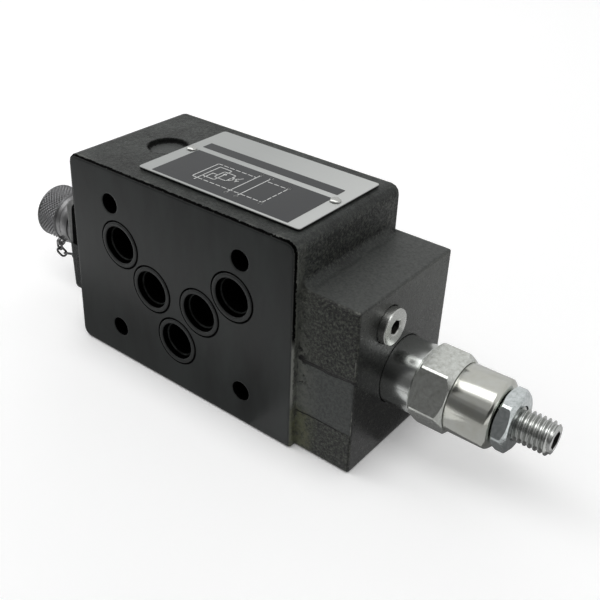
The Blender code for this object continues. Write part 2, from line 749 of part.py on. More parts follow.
bm = spanner_flats(HEX_FLATS, HEX_TURN, x_hex, x_hex_end + OVER, 2 * HEX_CORNER_R)
boolean(cartridge, cutter("cut_cartridge_hex", bm, AXIS))
groove_ring("collar_seal", x_collar_seal, COLLAR_R, MEDIUM_SIDES)

# Sleeve: carries the spool and the two seals that part the ports
x_sleeve = x_nose + NOSE_ROOM
x_nose_seal = x_inlet - NOSE_LENGTH / 2
x_land_seal = x_land + LAND_LENGTH / 4
neck = SLEEVE_ROOM_R + 1.5 * MM
feed = SPOOL_R + GAP + 2.2 * MM
lead = NOSE_R / 8
profile = [
    (x_sleeve, SPOOL_R + GAP),
    (x_sleeve, NOSE_R - lead),
    (x_sleeve + lead, NOSE_R),
    *backed_groove(x_nose_seal, NOSE_R),
    (x_inlet, NOSE_R),
    (x_inlet, feed),
    (x_land, feed),
    (x_land, LAND_R - lead / 2),
    (x_land + lead / 2, LAND_R),
    *backed_groove(x_land_seal, LAND_R),
    (x_drain, LAND_R),
    (x_drain, neck + GAP),
    (x_thread, neck + GAP),
    (x_thread, SLEEVE_SPIGOT_R),
    (x_sleeve_end, SLEEVE_SPIGOT_R),
    (x_sleeve_end, SLEEVE_ROOM_R),
    (x_guide_seat, SLEEVE_ROOM_R),
    (x_guide_seat, SPOOL_R + GAP),
]
sleeve = node("cartridge_sleeve", turned(profile, SMALL_SIDES), STEEL, AXIS)
for k in range(4):
    a = math.radians(90 * k)
    out = Vector((0, math.cos(a), math.sin(a)))
    at = Vector((x_inlet_middle, 0, 0))
    bm = rod(at + out * SPOOL_R * 0.6, at + out * INLET_R, METER_HOLE_R, TINY_SIDES)
    boolean(sleeve, cutter(f"cut_meter_hole_{k}", bm, AXIS))
for k in range(4):
    a = math.radians(90 * k + 45)
    out = Vector((0, math.cos(a), math.sin(a)))
    at = Vector((x_drain_middle, 0, 0))
    bm = rod(at + out * SLEEVE_ROOM_R * 0.7, at + out * DRAIN_R, METER_HOLE_R, TINY_SIDES)
    boolean(sleeve, cutter(f"cut_drain_hole_{k}", bm, AXIS))
groove_ring("nose_seal", x_nose_seal, NOSE_R, SMALL_SIDES)
backup_ring("nose_backup_ring", x_nose_seal, NOSE_R)
groove_ring("land_seal", x_land_seal, LAND_R, SMALL_SIDES)
backup_ring("land_backup_ring", x_land_seal, LAND_R)

# Spool: the nose end feels the reduced pressure through its own bore
x_spool = x_sleeve + GAP
x_waist = x_inlet_middle - SPOOL_WAIST / 2
lip = SPOOL_R / 10
profile = [
    (x_spool, SPOOL_BORE_R),
    (x_spool, SPOOL_R - lip),
    (x_spool + lip, SPOOL_R),
    (x_waist, SPOOL_R),
    (x_waist, SPOOL_WAIST_R),
    (x_waist + SPOOL_WAIST, SPOOL_WAIST_R),
    (x_waist + SPOOL_WAIST, SPOOL_R),
    (x_guide_seat - lip, SPOOL_R),
    (x_guide_seat, SPOOL_R - lip),
    (x_guide_seat, 0),
    (x_inlet_middle + SPOOL_BORE_R, 0),
    (x_inlet_middle + SPOOL_BORE_R, SPOOL_BORE_R),
]
bm = turned(profile[:10], SMALL_SIDES, closed=False)
bmesh.ops.holes_fill(bm, edges=[edge for edge in bm.edges if edge.is_boundary])
spool = node("spool", bm, STEEL, AXIS)
bm = rod((x_spool - OVER, 0, 0), (x_inlet_middle, 0, 0), SPOOL_BORE_R, TINY_SIDES)
boolean(spool, cutter("cut_spool_bore", bm, AXIS))
bm = rod((x_inlet_middle, 0, -SPOOL_R), (x_inlet_middle, 0, SPOOL_R), SPOOL_BORE_R * 0.7, TINY_SIDES)
boolean(spool, cutter("cut_spool_cross", bm, AXIS))

# Spring guide on the spool's end, main spring and spring plate
guide_r = SLEEVE_ROOM_R - GAP
x_guide = x_guide_seat + GAP
x_guide_face = x_guide + GUIDE_FLANGE
tip = PILOT_R / 5
profile = [
    (x_guide, 0), (x_guide, guide_r - tip / 2), (x_guide + tip / 2, guide_r),
    (x_guide_face, guide_r), (x_guide_face, PILOT_R), (x_guide_face + PILOT_LENGTH - tip, PILOT_R),
    (x_guide_face + PILOT_LENGTH, PILOT_R - tip), (x_guide_face + PILOT_LENGTH, 0),
]
node("spring_guide", turned(profile, SMALL_SIDES, closed=False), STEEL, AXIS)
coil("main_spring", x_guide_face + GAP, x_plate_front - GAP, SPRING_R, SPRING_WIRE_R,
     SPRING_TURNS, 1, AXIS)
x_plate_seal = x_plate_back - PLATE_LENGTH / 2 - RING_WIRE_R
profile = [
    (x_plate_front - PILOT_LENGTH, 0),
    (x_plate_front - PILOT_LENGTH, PILOT_R - tip),
    (x_plate_front - PILOT_LENGTH + tip, PILOT_R),
    (x_plate_front, PILOT_R),
    (x_plate_front, PLATE_R - tip / 2),
    (x_plate_front + tip / 2, PLATE_R),
    *groove(x_plate_seal, PLATE_R),
    (x_plate_back, PLATE_R),
    (x_plate_back, 0),
]
node("spring_plate", turned(profile, SMALL_SIDES, closed=False), STEEL, AXIS)
groove_ring("plate_seal", x_plate_seal, PLATE_R, SMALL_SIDES)

# Bonnet: closes the spring room and carries the adjuster's thread
x_bonnet_seal = x_spigot + SPIGOT_LENGTH / 3
profile = [
    (x_spigot, room_r),
    (x_spigot, SPIGOT_R - chamfer / 2),
    (x_spigot + chamfer / 2, SPIGOT_R),
    *groove(x_bonnet_seal, SPIGOT_R),
    (x_bonnet, SPIGOT_R),
    (x_bonnet, BONNET_R - hex_break),
    (x_bonnet + hex_break, BONNET_R),
    (x_bonnet_end - BONNET_CHAMFER, BONNET_R),
    (x_bonnet_end, BONNET_R - BONNET_CHAMFER),
    (x_bonnet_end, SPINDLE_R + GAP),
    (x_bore_end, SPINDLE_R + GAP),
    (x_bore_end, room_r),
]
node("cartridge_bonnet", turned(profile, ROUND_SIDES), ZINC, AXIS)
groove_ring("bonnet_seal", x_bonnet_seal, SPIGOT_R, MEDIUM_SIDES)

# Adjusting spindle with its hexagon socket, and the locknut
point = SPINDLE_R / 6
profile = [
    (x_plate_back + GAP, 0),
    (x_plate_back + GAP, SPINDLE_R - point),
    (x_plate_back + GAP + point, SPINDLE_R),
    (x_tip - point, SPINDLE_R),
    (x_tip, SPINDLE_R - point),
    (x_tip, 0),
]
spindle = node("adjusting_spindle", turned(profile, MEDIUM_SIDES, closed=False), ZINC, AXIS)
bm = prism(hexagon(SOCKET_FLATS, SPINDLE_SOCKET_TURN), x_tip - SOCKET_DEPTH, x_tip + OVER)
boolean(spindle, cutter("cut_spindle_socket", bm, AXIS))
slope = 1.2 * MM
profile = [
    (x_nut, SPINDLE_R + GAP),
    (x_nut, NUT_FLATS / 2),
    (x_nut + slope / 2, NUT_CORNER_R),
    (x_nut_end - slope / 2, NUT_CORNER_R),
    (x_nut_end, NUT_FLATS / 2 - slope / 4),
    (x_nut_end, SPINDLE_R + GAP),
]
nut = node("locknut", turned(profile, FINE_SIDES), ZINC, AXIS)
bm = spanner_flats(NUT_FLATS, NUT_TURN, x_nut - OVER, x_nut_end + OVER, 2 * NUT_CORNER_R)
boolean(nut, cutter("cut_nut_hex", bm, AXIS))

# Test point, built outwards from its seat on the pad
x_tp = x_seat - TP_WASHER - 2 * GAP
x_tp_hex = x_tp - TP_FLANGE
x_tp_neck = x_tp_hex - TP_HEX_LENGTH
x_tp_nose = x_tp_neck - TP_NECK_LENGTH
x_tp_end = x_tp_nose - TP_NOSE_LENGTH
x_mouth = x_tp_end + TP_MOUTH_DEPTH
x_room = x_mouth + TP_SEAT
x_room_end = x_room + TP_ROOM_LENGTH
step = TP_HEX_CORNER_R / 16
profile = [
    (x_gauge, TP_BORE_R),
    (x_gauge, TP_THREAD_R - step),
    (x_gauge - step, TP_THREAD_R),
    (x_tp, TP_THREAD_R),
    (x_tp, TP_FLANGE_R),
    (x_tp_hex, TP_FLANGE_R),
    (x_tp_hex - step / 2, TP_HEX_CORNER_R),
    (x_tp_neck + step, TP_HEX_CORNER_R),
    (x_tp_neck, TP_FLANGE_R - step / 2),
    (x_tp_neck, TP_NECK_R),
    (x_tp_nose, TP_NECK_R),
    (x_tp_nose, TP_NOSE_R),
    (x_tp_end + step, TP_NOSE_R),
    (x_tp_end, TP_NOSE_R - step),
    (x_tp_end, TP_MOUTH_R),
    (x_mouth, TP_MOUTH_R),
    (x_mouth, BALL_HOLE_R),
    (x_room, BALL_HOLE_R),
    (x_room, TP_ROOM_R),
    (x_room_end, TP_ROOM_R),
    (x_room_end, TP_BORE_R),
]
test_point = node("test_point_body", turned(profile, MEDIUM_SIDES), ZINC, AXIS)
bm = spanner_flats(TP_HEX_FLATS, TP_HEX_TURN, x_tp_neck - step / 2, x_tp_hex, 2 * TP_HEX_CORNER_R)
boolean(test_point, cutter("cut_test_point_hex", bm, AXIS))
profile = [
    (x_seat - GAP, TP_THREAD_R + GAP), (x_seat - GAP, TP_WASHER_R),
    (x_seat - GAP - TP_WASHER, TP_WASHER_R), (x_seat - GAP - TP_WASHER, TP_THREAD_R + GAP),
]
node("test_point_washer", turned(profile, MEDIUM_SIDES), DULL, AXIS)

# Check ball behind its seat, and the spring that holds it there
rest = math.sqrt(BALL_R ** 2 - BALL_HOLE_R ** 2) + GAP
x_ball = x_room + rest
bm = bmesh.new()
bmesh.ops.create_uvsphere(bm, u_segments=SMALL_SIDES, v_segments=TINY_SIDES, radius=BALL_R)
bmesh.ops.transform(bm, matrix=frame_along((0, 0, 1)), verts=bm.verts)
node("check_ball", bm, STEEL, (x_ball, AXIS_Y, AXIS_Z))
coil("check_spring", x_ball + BALL_R + GAP, x_room_end - GAP, BALL_R * 0.8, CHECK_WIRE_R,
     CHECK_TURNS, 0, AXIS)

# Dust cap: a knurled blind nut, its sealing disc and the ring that swivels in its groove
x_cap = x_tp_nose - GAP
x_groove = x_cap - CAP_SKIRT
x_grip = x_groove - CAP_GROOVE
x_cap_end = x_grip - CAP_GRIP
x_blind = x_tp_end - CAP_WASHER - 2 * GAP
profile = [
    (x_cap, TP_NOSE_R + GAP),
    (x_cap, CAP_SKIRT_R - CAP_ROUND / 2),
    (x_cap - CAP_ROUND / 2, CAP_SKIRT_R),
    (x_groove, CAP_SKIRT_R),
    (x_groove, CAP_GROOVE_R),
    (x_grip, CAP_GROOVE_R),
    (x_grip, CAP_R - CAP_ROUND / 3),
    (x_grip - CAP_ROUND / 3, CAP_R),
]
for k in range(4):
    a = math.radians(30 * k)
    profile.append((
        x_cap_end + CAP_ROUND * (1 - math.sin(a)), CAP_R - CAP_ROUND * (1 - math.cos(a))
    ))
profile.append((x_cap_end, 0))
profile += [(x_blind, 0), (x_blind, TP_NOSE_R + GAP)]
bm = turned(profile[:-2], ROUND_SIDES, closed=False)
bmesh.ops.holes_fill(bm, edges=[edge for edge in bm.edges if edge.is_boundary])
cap = node("dust_cap", bm, DULL, AXIS)
bm = rod((x_cap + OVER, 0, 0), (x_blind, 0, 0), TP_NOSE_R + GAP, MEDIUM_SIDES)
boolean(cap, cutter("cut_cap_bore", bm, AXIS))
profile = [
    (x_blind + GAP, 0), (x_blind + GAP, TP_NOSE_R), (x_blind + GAP + CAP_WASHER, TP_NOSE_R),
    (x_blind + GAP + CAP_WASHER, 0),
]
node("cap_washer", turned(profile, SMALL_SIDES, closed=False), RUBBER, AXIS)

def eye_ring(name, start, width, inner, outer, turn):
    """A flat ring with an ear below for the chain."""
    profile = [(start, inner), (start, outer), (start - width, outer), (start - width, inner)]
    made = node(name, turned(profile, MEDIUM_SIDES), DULL, AXIS)
    a = math.radians(turn)
    outwards = Vector((0, math.cos(a), math.sin(a)))
    at = Vector((start, 0, 0)) + outwards * (outer + CHAIN_R)
    thick = Vector((min(width, CAP_RING_WIDTH), 0, 0))
    lug = rod(at, at - thick, EAR_R, TINY_SIDES)
    boolean(made, cutter("form_ear_" + name, lug, AXIS), "UNION")
    return at - thick / 2 - Vector((0, 0, EAR_R + GAP))


cap_ring_start = x_groove - (CAP_GROOVE - CAP_RING_WIDTH) / 2
neck_ring_start = x_tp_neck - (TP_NECK_LENGTH - NECK_RING_WIDTH) / 2
cap_ring_out = CAP_GROOVE_R + GAP + CAP_RING_THICK
neck_ring_out = TP_NECK_R + GAP + NECK_RING_THICK
first = eye_ring("cap_ring", cap_ring_start, CAP_RING_WIDTH, CAP_GROOVE_R + GAP, cap_ring_out,
                 EAR_TURN)
last = eye_ring("neck_ring", neck_ring_start, NECK_RING_WIDTH, TP_NECK_R + GAP, neck_ring_out,
                NECK_EAR_TURN)

# The chain's run from the cap's ear down, under the test point and up to the neck's ear
span = last - first
drop = Vector((0, 0, -CHAIN_SAG))
knots = [
    first,
    first + drop * 0.3,
    Vector((first.x + span.x * 0.1, first.y + span.y * 0.04, first.z - CHAIN_SAG * 0.7)),
    Vector((first.x + span.x * 0.4, first.y + span.y * 0.2, first.z - CHAIN_SAG * 0.9)),
    Vector((first.x + span.x * 0.85, first.y + span.y * 0.6, last.z - CHAIN_SAG)),
    last + drop * 0.7 - Vector((0, span.y * 0.05, 0)),
    last,
]


def smooth_run(knots, per_span):
    """A smooth curve through the knots."""
    ends = [2 * knots[0] - knots[1]] + knots + [2 * knots[-1] - knots[-2]]
    path = []
    for k in range(1, len(ends) - 2):
        a, b, c, d = ends[k - 1], ends[k], ends[k + 1], ends[k + 2]
        for step in range(per_span):
            t = step / per_span
            path.append(0.5 * (
                2 * b + (c - a) * t + (2 * a - 5 * b + 4 * c - d) * t ** 2
                + (3 * b - a - 3 * c + d) * t ** 3
            ))
    return path + [knots[-1]]


wire_curve("cap_chain", smooth_run(knots, 3), CHAIN_R, 2, DULL, AXIS)
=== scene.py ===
# %% [markdown]
# # A hydraulic sandwich valve
#
# The valve is a block of grey iron with five oil ports, a screw-in pressure reducing cartridge
# at one end and a capped test point at the other. The solid model arrives finished, so this
# lesson is about looks: finer turned parts, a real thread, a knurl, a chain of links, a printed
# plate, and procedural materials for iron, zinc and rubber.
#
# All the places below are in the valve's own frame. +X runs out along the cartridge, +Y goes
# into the block from the port face, and +Z is up. The origin is the middle of the bolt pattern.

# %% Load the solid model
import math

import bmesh
import bpy
from mathutils import Matrix, Vector


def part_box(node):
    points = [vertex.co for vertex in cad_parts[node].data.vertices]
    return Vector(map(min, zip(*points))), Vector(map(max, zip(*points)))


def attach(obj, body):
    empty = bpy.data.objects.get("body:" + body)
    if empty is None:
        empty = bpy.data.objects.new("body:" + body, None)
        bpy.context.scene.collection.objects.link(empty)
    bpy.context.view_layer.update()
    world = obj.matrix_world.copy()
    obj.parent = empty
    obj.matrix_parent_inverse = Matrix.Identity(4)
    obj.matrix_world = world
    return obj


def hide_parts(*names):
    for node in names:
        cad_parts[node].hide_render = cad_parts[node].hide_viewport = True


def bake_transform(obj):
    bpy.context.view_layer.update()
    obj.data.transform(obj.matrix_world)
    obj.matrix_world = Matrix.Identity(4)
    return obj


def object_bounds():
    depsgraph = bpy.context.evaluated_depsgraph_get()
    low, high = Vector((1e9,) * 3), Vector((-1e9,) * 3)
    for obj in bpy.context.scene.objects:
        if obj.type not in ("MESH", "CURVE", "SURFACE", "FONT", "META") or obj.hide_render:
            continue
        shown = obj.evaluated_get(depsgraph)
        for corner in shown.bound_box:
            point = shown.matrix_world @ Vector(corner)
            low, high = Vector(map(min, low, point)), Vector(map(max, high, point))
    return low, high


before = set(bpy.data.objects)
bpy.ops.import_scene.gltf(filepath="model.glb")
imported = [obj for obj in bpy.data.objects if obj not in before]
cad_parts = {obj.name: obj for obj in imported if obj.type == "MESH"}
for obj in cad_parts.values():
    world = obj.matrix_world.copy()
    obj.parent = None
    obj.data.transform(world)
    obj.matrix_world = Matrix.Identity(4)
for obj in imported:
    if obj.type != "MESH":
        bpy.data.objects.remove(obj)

MM = 0.001
solid_low, solid_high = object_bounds()
print("box in mm:", [round(c / MM, 1) for c in solid_high - solid_low])

# %% [markdown]
# ## The camera
#
# A camera close to the valve gives the strong perspective of a product shot. Its place and
# turn were found from the nine holes of the port face, whose real pitch is a standard. The
# three directions below are the camera's right, down and forward.

# %% Place the camera
camera_data = bpy.data.cameras.new("camera")
camera_data.sensor_width = 36.0
camera_data.lens = 51.817
camera_data.clip_start = 0.01
camera = bpy.data.objects.new("camera", camera_data)
bpy.context.scene.collection.objects.link(camera)
to_right = Vector((0.78399686, 0.61999895, 0.03082573))
to_below = Vector((0.35174421, -0.40277188, -0.84501528))
to_front = Vector((-0.51149285, 0.6733321, -0.53385293))
camera_turn = Matrix((to_right, -to_below, -to_front)).transposed().to_4x4()
camera.matrix_world = Matrix.Translation((0.167108, -0.155956, 0.142697)) @ camera_turn
bpy.context.scene.camera = camera
bpy.context.scene.view_settings.view_transform = "Standard"
print("camera at", [round(c, 3) for c in camera.location])

# %% [markdown]
# ## Light and background
#
# The set is a white table under one long softbox, with weaker boxes at the side and behind.
# Bright plated steel shows what stands round it more than its own colour, so dark cards stand
# beside the camera, where a photographer would put them. The front ones lie one above the
# other, each lighter than the one below, and give the steel its bands along the axis. Grey
# sheets on the table are painted shade: they show the undersides a darker table than the lit
# one, most of all near and under the valve. All are seen only in reflections, and each has one
# plain level: the share of white that a mirror would show in its place.

# %% Helpers for lights and cards
def aim(thing, place, target):
    thing.location = place
    thing.rotation_mode = "QUATERNION"
    thing.rotation_quaternion = (Vector(target) - Vector(place)).to_track_quat("-Z", "Y")


def softbox(name, place, target, width, depth, watts):
    lamp = bpy.data.lights.new(name, "AREA")
    lamp.shape = "RECTANGLE"
    lamp.size = width
    lamp.size_y = depth
    lamp.energy = watts
    made = bpy.data.objects.new(name, lamp)
    bpy.context.scene.collection.objects.link(made)
    aim(made, place, target)
    return made


valve_middle = (0.01, 0.025, 0.0)
softbox("top_box", (-0.05, -0.14, 0.78), (-0.05, 0.025, 0.0), 1.50, 0.38, 3.4)
softbox("left_box", (-0.70, -0.10, 0.45), valve_middle, 0.40, 0.40, 1.0)
back_box = softbox("back_box", (-0.25, 0.75, 0.48), valve_middle, 1.00, 0.32, 1.4)
back_box.visible_glossy = False

# %% A white table that keeps the valve's shadow, with a painted contact shadow in its glow
def flat_card(name, place, target, width, depth):
    bm = bmesh.new()
    bmesh.ops.create_grid(bm, x_segments=1, y_segments=1, size=0.5)
    bmesh.ops.scale(bm, vec=(width, depth, 1.0), verts=bm.verts)
    mesh = bpy.data.meshes.new(name)
    bm.to_mesh(mesh)
    bm.free()
    made = bpy.data.objects.new(name, mesh)
    bpy.context.scene.collection.objects.link(made)
    aim(made, place, target)
    return made


table_top = solid_low.z - 0.0002
table_height = min(table_top, -0.0352)
table = flat_card("table", (0, 0, table_height), (0, 0, table_height - 1), 6.0, 6.0)
table_paint = bpy.data.materials.new("table_white")
table_paint.use_nodes = True
nodes = table_paint.node_tree.nodes
links = table_paint.node_tree.links
nodes.clear()
out = nodes.new("ShaderNodeOutputMaterial")
matte = nodes.new("ShaderNodeBsdfDiffuse")
matte.inputs["Color"].default_value = (0.80, 0.80, 0.80, 1)
glow = nodes.new("ShaderNodeEmission")
glow.inputs["Color"].default_value = (1, 1, 1, 1)
path = nodes.new("ShaderNodeLightPath")
seen = nodes.new("ShaderNodeMath")
seen.operation = "MAXIMUM"
links.new(path.outputs["Is Camera Ray"], seen.inputs[0])
links.new(path.outputs["Is Glossy Ray"], seen.inputs[1])
clear = nodes.new("ShaderNodeMath")
clear.operation = "MAXIMUM"
links.new(seen.outputs[0], clear.inputs[0])
links.new(path.outputs["Is Transmission Ray"], clear.inputs[1])
level = nodes.new("ShaderNodeMath")
level.operation = "MULTIPLY"
level.inputs[1].default_value = 0.40
links.new(clear.outputs[0], level.inputs[0])
# The glow is dimmed by ambient occlusion within 14 mm of the valve: a painted contact shadow on the
# table.
painted_contact_shadow = nodes.new("ShaderNodeAmbientOcclusion")
painted_contact_shadow.samples = 8
painted_contact_shadow.inputs["Distance"].default_value = 0.014
shaded = nodes.new("ShaderNodeMath")
shaded.operation = "MULTIPLY"
links.new(painted_contact_shadow.outputs["AO"], shaded.inputs[0])
links.new(level.outputs[0], shaded.inputs[1])
links.new(shaded.outputs[0], glow.inputs["Strength"])
both = nodes.new("ShaderNodeAddShader")
links.new(matte.outputs[0], both.inputs[0])
links.new(glow.outputs[0], both.inputs[1])
links.new(both.outputs[0], out.inputs["Surface"])
table.data.materials.append(table_paint)
print("table at z =", round(table_height / MM, 2), "mm")

# %% White surroundings and the dark cards
world = bpy.data.worlds.new("white_room")
world.use_nodes = True
bpy.context.scene.world = world
nodes = world.node_tree.nodes
links = world.node_tree.links
nodes.clear()
out = nodes.new("ShaderNodeOutputWorld")
room = nodes.new("ShaderNodeBackground")
path = nodes.new("ShaderNodeLightPath")
seen = nodes.new("ShaderNodeMath")
seen.operation = "MAXIMUM"
links.new(path.outputs["Is Camera Ray"], seen.inputs[0])
links.new(path.outputs["Is Glossy Ray"], seen.inputs[1])
clear = nodes.new("ShaderNodeMath")
clear.operation = "MAXIMUM"
links.new(seen.outputs[0], clear.inputs[0])
links.new(path.outputs["Is Transmission Ray"], clear.inputs[1])
level = nodes.new("ShaderNodeMapRange")
level.inputs["To Min"].default_value = 0.40
level.inputs["To Max"].default_value = 1.0
links.new(clear.outputs[0], level.inputs["Value"])
links.new(level.outputs["Result"], room.inputs["Strength"])
links.new(room.outputs[0], out.inputs["Surface"])

low = table_height + 0.0001
# The sheets at table height (low) are painted shade seen only in reflections: the steel sees a
# darker table there than the lit one, most of all near and under the valve.
cards = {
    "card_front": ((-0.20, -0.65, 0.11), (-0.20, 0.0, 0.11), 2.6, 0.30, 0.15),
    "card_middle": ((-0.20, -0.65, 0.36), (-0.20, 0.0, 0.36), 2.6, 0.20, 0.24),
    "card_upper": ((-0.20, -0.65, 0.76), (-0.20, 0.0, 0.76), 2.6, 0.60, 0.42),
    "card_right": ((0.75, -0.25, 0.10), (0.05, 0.0, 0.0), 0.6, 0.36, 0.04),
    "card_back": ((-0.20, 0.60, 0.12), (-0.20, 0.0, 0.12), 2.6, 0.34, 0.72),
    "card_rear": ((-0.20, 0.36, low), None, 2.0, 0.49, 0.60),
    "card_floor": ((-0.20, -0.395, low), None, 2.0, 0.49, 0.16),
    "card_wide": ((0.0, -0.1125, low), None, 1.2, 0.075, 0.50),
    "card_shade": ((-0.0275, -0.012, low), None, 0.115, 0.028, 0.36),
    "card_near": ((0.125, -0.0275, low), None, 0.115, 0.095, 0.52),
    "card_gap": ((0.056, -0.055, low), None, 0.023, 0.04, 0.50),
    "card_far": ((0.10, 0.036, low), None, 0.065, 0.031, 0.14),
    "card_side": ((0.13, 0.084, low), None, 0.105, 0.062, 0.62),
}
for name, (place, target, width, depth, level) in cards.items():
    target = target or Vector(place) - Vector((0, 0, 1))
    card = flat_card(name, place, target, width, depth)
    card_paint = bpy.data.materials.new(name + "_paint")
    card_paint.use_nodes = True
    card_shader = card_paint.node_tree.nodes["Principled BSDF"]
    card_shader.inputs["Base Color"].default_value = (0, 0, 0, 1)
    card_shader.inputs["Specular IOR Level"].default_value = 0
    card_shader.inputs["Emission Color"].default_value = (1, 1, 1, 1)
    card_shader.inputs["Emission Strength"].default_value = level
    card.data.materials.append(card_paint)
    card.visible_camera = False
    card.visible_diffuse = False
    card.visible_shadow = False
print("cards:", list(cards))

# %% [markdown]
# ## Materials
#
# Every finish is built from noise on object coordinates, so it needs no unwrapping and keeps
# its real scale: one unit is a metre, so a noise scale of 1000 has details about a millimetre
# across. A small helper class keeps the node code short enough to read.

# %% A helper for node materials
class Finish:
    """A Principled material with short calls for noise, ramps and bumps."""

    def __init__(self, name, colour, roughness, metallic=0.0):
        self.material = bpy.data.materials.new(name)
        self.material.use_nodes = True
        self.tree = self.material.node_tree
        self.shader = self.tree.nodes["Principled BSDF"]
        self.shader.inputs["Base Color"].default_value = (*colour, 1)
        self.shader.inputs["Roughness"].default_value = roughness
        self.shader.inputs["Metallic"].default_value = metallic
        self.place = self.tree.nodes.new("ShaderNodeTexCoord").outputs["Object"]
        self.normal = None

    def link(self, source, target):
        self.tree.links.new(source, target)

    def maths(self, operation, first, second=0.0, clamp=False):
        made = self.tree.nodes.new("ShaderNodeMath")
        made.operation = operation
        made.use_clamp = clamp
        for socket, value in zip(made.inputs, (first, second)):
            if isinstance(value, (int, float)):
                socket.default_value = value
            else:
                self.link(value, socket)
        return made.outputs[0]

    def along(self, axis):
        made = self.tree.nodes.new("ShaderNodeSeparateXYZ")
        self.link(self.place, made.inputs[0])
        return made.outputs[axis]

    def stretched(self, scale, turn=(0, 0, 0), shift=(0, 0, 0)):
        made = self.tree.nodes.new("ShaderNodeMapping")
        made.inputs["Scale"].default_value = scale
        made.inputs["Rotation"].default_value = [math.radians(a) for a in turn]
        made.inputs["Location"].default_value = shift
        self.link(self.place, made.inputs["Vector"])
        return made.outputs[0]

    def noise(self, scale, detail=3.0, rough=0.55, place=None):
        made = self.tree.nodes.new("ShaderNodeTexNoise")
        made.inputs["Scale"].default_value = scale
        made.inputs["Detail"].default_value = detail
        made.inputs["Roughness"].default_value = rough
        self.link(self.place if place is None else place, made.inputs["Vector"])
        return made.outputs["Fac"]

    def cells(self, scale, place=None):
        made = self.tree.nodes.new("ShaderNodeTexVoronoi")
        made.inputs["Scale"].default_value = scale
        self.link(self.place if place is None else place, made.inputs["Vector"])
        return made.outputs["Distance"]

    def fit(self, value, low, high, to_low=0.0, to_high=1.0):
        made = self.tree.nodes.new("ShaderNodeMapRange")
        made.inputs["From Min"].default_value = low
        made.inputs["From Max"].default_value = high
        made.inputs["To Min"].default_value = to_low
        made.inputs["To Max"].default_value = to_high
        self.link(value, made.inputs["Value"])
        return made.outputs["Result"]

    def band(self, value, low, high, soft):
        rise = self.fit(value, low - soft, low)
        return self.maths("MULTIPLY", rise, self.fit(value, high + soft, high))

    def mix(self, share, first, second):
        made = self.tree.nodes.new("ShaderNodeMix")
        made.data_type = "RGBA"
        for socket, value in ((made.inputs[6], first), (made.inputs[7], second)):
            if isinstance(value, tuple):
                socket.default_value = (*value, 1)
            else:
                self.link(value, socket)
        self.link(share, made.inputs[0])
        return made.outputs[2]

    def colour(self, source):
        self.link(source, self.shader.inputs["Base Color"])

    def roughness(self, source):
        self.link(source, self.shader.inputs["Roughness"])

    def rounded(self, radius):
        """Rounds the shading of edges, as if each had a small radius."""
        made = self.tree.nodes.new("ShaderNodeBevel")
        made.samples = 4
        made.inputs["Radius"].default_value = radius
        self.normal = made.outputs[0]
        self.link(self.normal, self.shader.inputs["Normal"])
        return self.normal

    def bump(self, height, strength, distance):
        made = self.tree.nodes.new("ShaderNodeBump")
        made.inputs["Strength"].default_value = strength
        made.inputs["Distance"].default_value = distance
        self.link(height, made.inputs["Height"])
        if self.normal is not None:
            self.link(self.normal, made.inputs["Normal"])
        self.normal = made.outputs["Normal"]
        self.link(self.normal, self.shader.inputs["Normal"])


# %% [markdown]
# ## Iron
#
# The block is sand-cast and coated dark grey. Its outside keeps the grain of the sand, while
# the port face and the face behind it are ground flat, so they carry a faint satin sheen. One
# material holds both: the Y coordinate tells the ground faces from the cast skin.

# %% Where the ground faces and the boss are
iron = Finish("cast_iron_coated", (0.012, 0.013, 0.0125), 0.45)
iron.shader.inputs["Specular IOR Level"].default_value = 0.32
east, depth_in, height = iron.along("X"), iron.along("Y"), iron.along("Z")
front_face = iron.fit(depth_in, 0.25 * MM, 0.08 * MM)
ground = iron.maths("MAXIMUM", front_face, iron.fit(depth_in, 49.75 * MM, 49.92 * MM))
skin = iron.maths("SUBTRACT", 1.0, ground)
ragged = iron.fit(iron.noise(900, 3.0, 0.7), 0.3, 0.7, -0.35 * MM, 0.35 * MM)
ragged_depth = iron.maths("ADD", depth_in, ragged)
# rim: a black band on the cast skin along the edges of the ground faces, painted shade of the edge.
rim = iron.maths("MULTIPLY", iron.band(ragged_depth, 0.05 * MM, 0.85 * MM, 0.10 * MM), skin)
lip = iron.maths("MULTIPLY", iron.band(ragged_depth, 1.0 * MM, 1.5 * MM, 0.2 * MM), skin)
boss_front = iron.maths(
    "MULTIPLY", iron.fit(east, 46.6 * MM, 47.2 * MM), iron.fit(depth_in, 3.6 * MM, 2.9 * MM)
)
right_wall = iron.maths("MULTIPLY", iron.fit(east, 45.8 * MM, 46.2 * MM),
                        iron.fit(height, 5.0 * MM, 1.0 * MM))
rim = iron.maths("MULTIPLY", rim, iron.maths("SUBTRACT", 1.0, right_wall))
# A light line down the port face's right edge, fading out towards the bottom.
right_edge_light_line = iron.maths("MULTIPLY", right_wall, iron.fit(ragged_depth, 0.95 * MM, 0.65 * MM))
right_edge_light_line = iron.maths("MULTIPLY", right_edge_light_line, iron.fit(height, -20.0 * MM, -17.0 * MM, 0.1, 1.0))
boss_end = iron.fit(east, 66.1 * MM, 66.4 * MM)
print("masks ready")

BOSS_TOP = 20.7 * MM
boss_brow = iron.maths("MULTIPLY", iron.fit(height, BOSS_TOP - 0.5 * MM, BOSS_TOP - 0.1 * MM),
                       iron.fit(ragged_depth, 3.3 * MM, 2.9 * MM))
boss_brow = iron.maths("MULTIPLY", boss_brow, iron.fit(east, 46.6 * MM, 47.2 * MM))

# %% Bores, seal seats and the recess, by distance from their middles
PORTS = {"p": (0.0, -16.7), "a": (-10.3, -1.6), "b": (10.3, -1.6), "t": (-23.8, 9.5),
         "t1": (23.8, 9.5)}
BOLTS = [(x, z) for x in (-27.0, 27.0) for z in (-23.0, 23.0)]


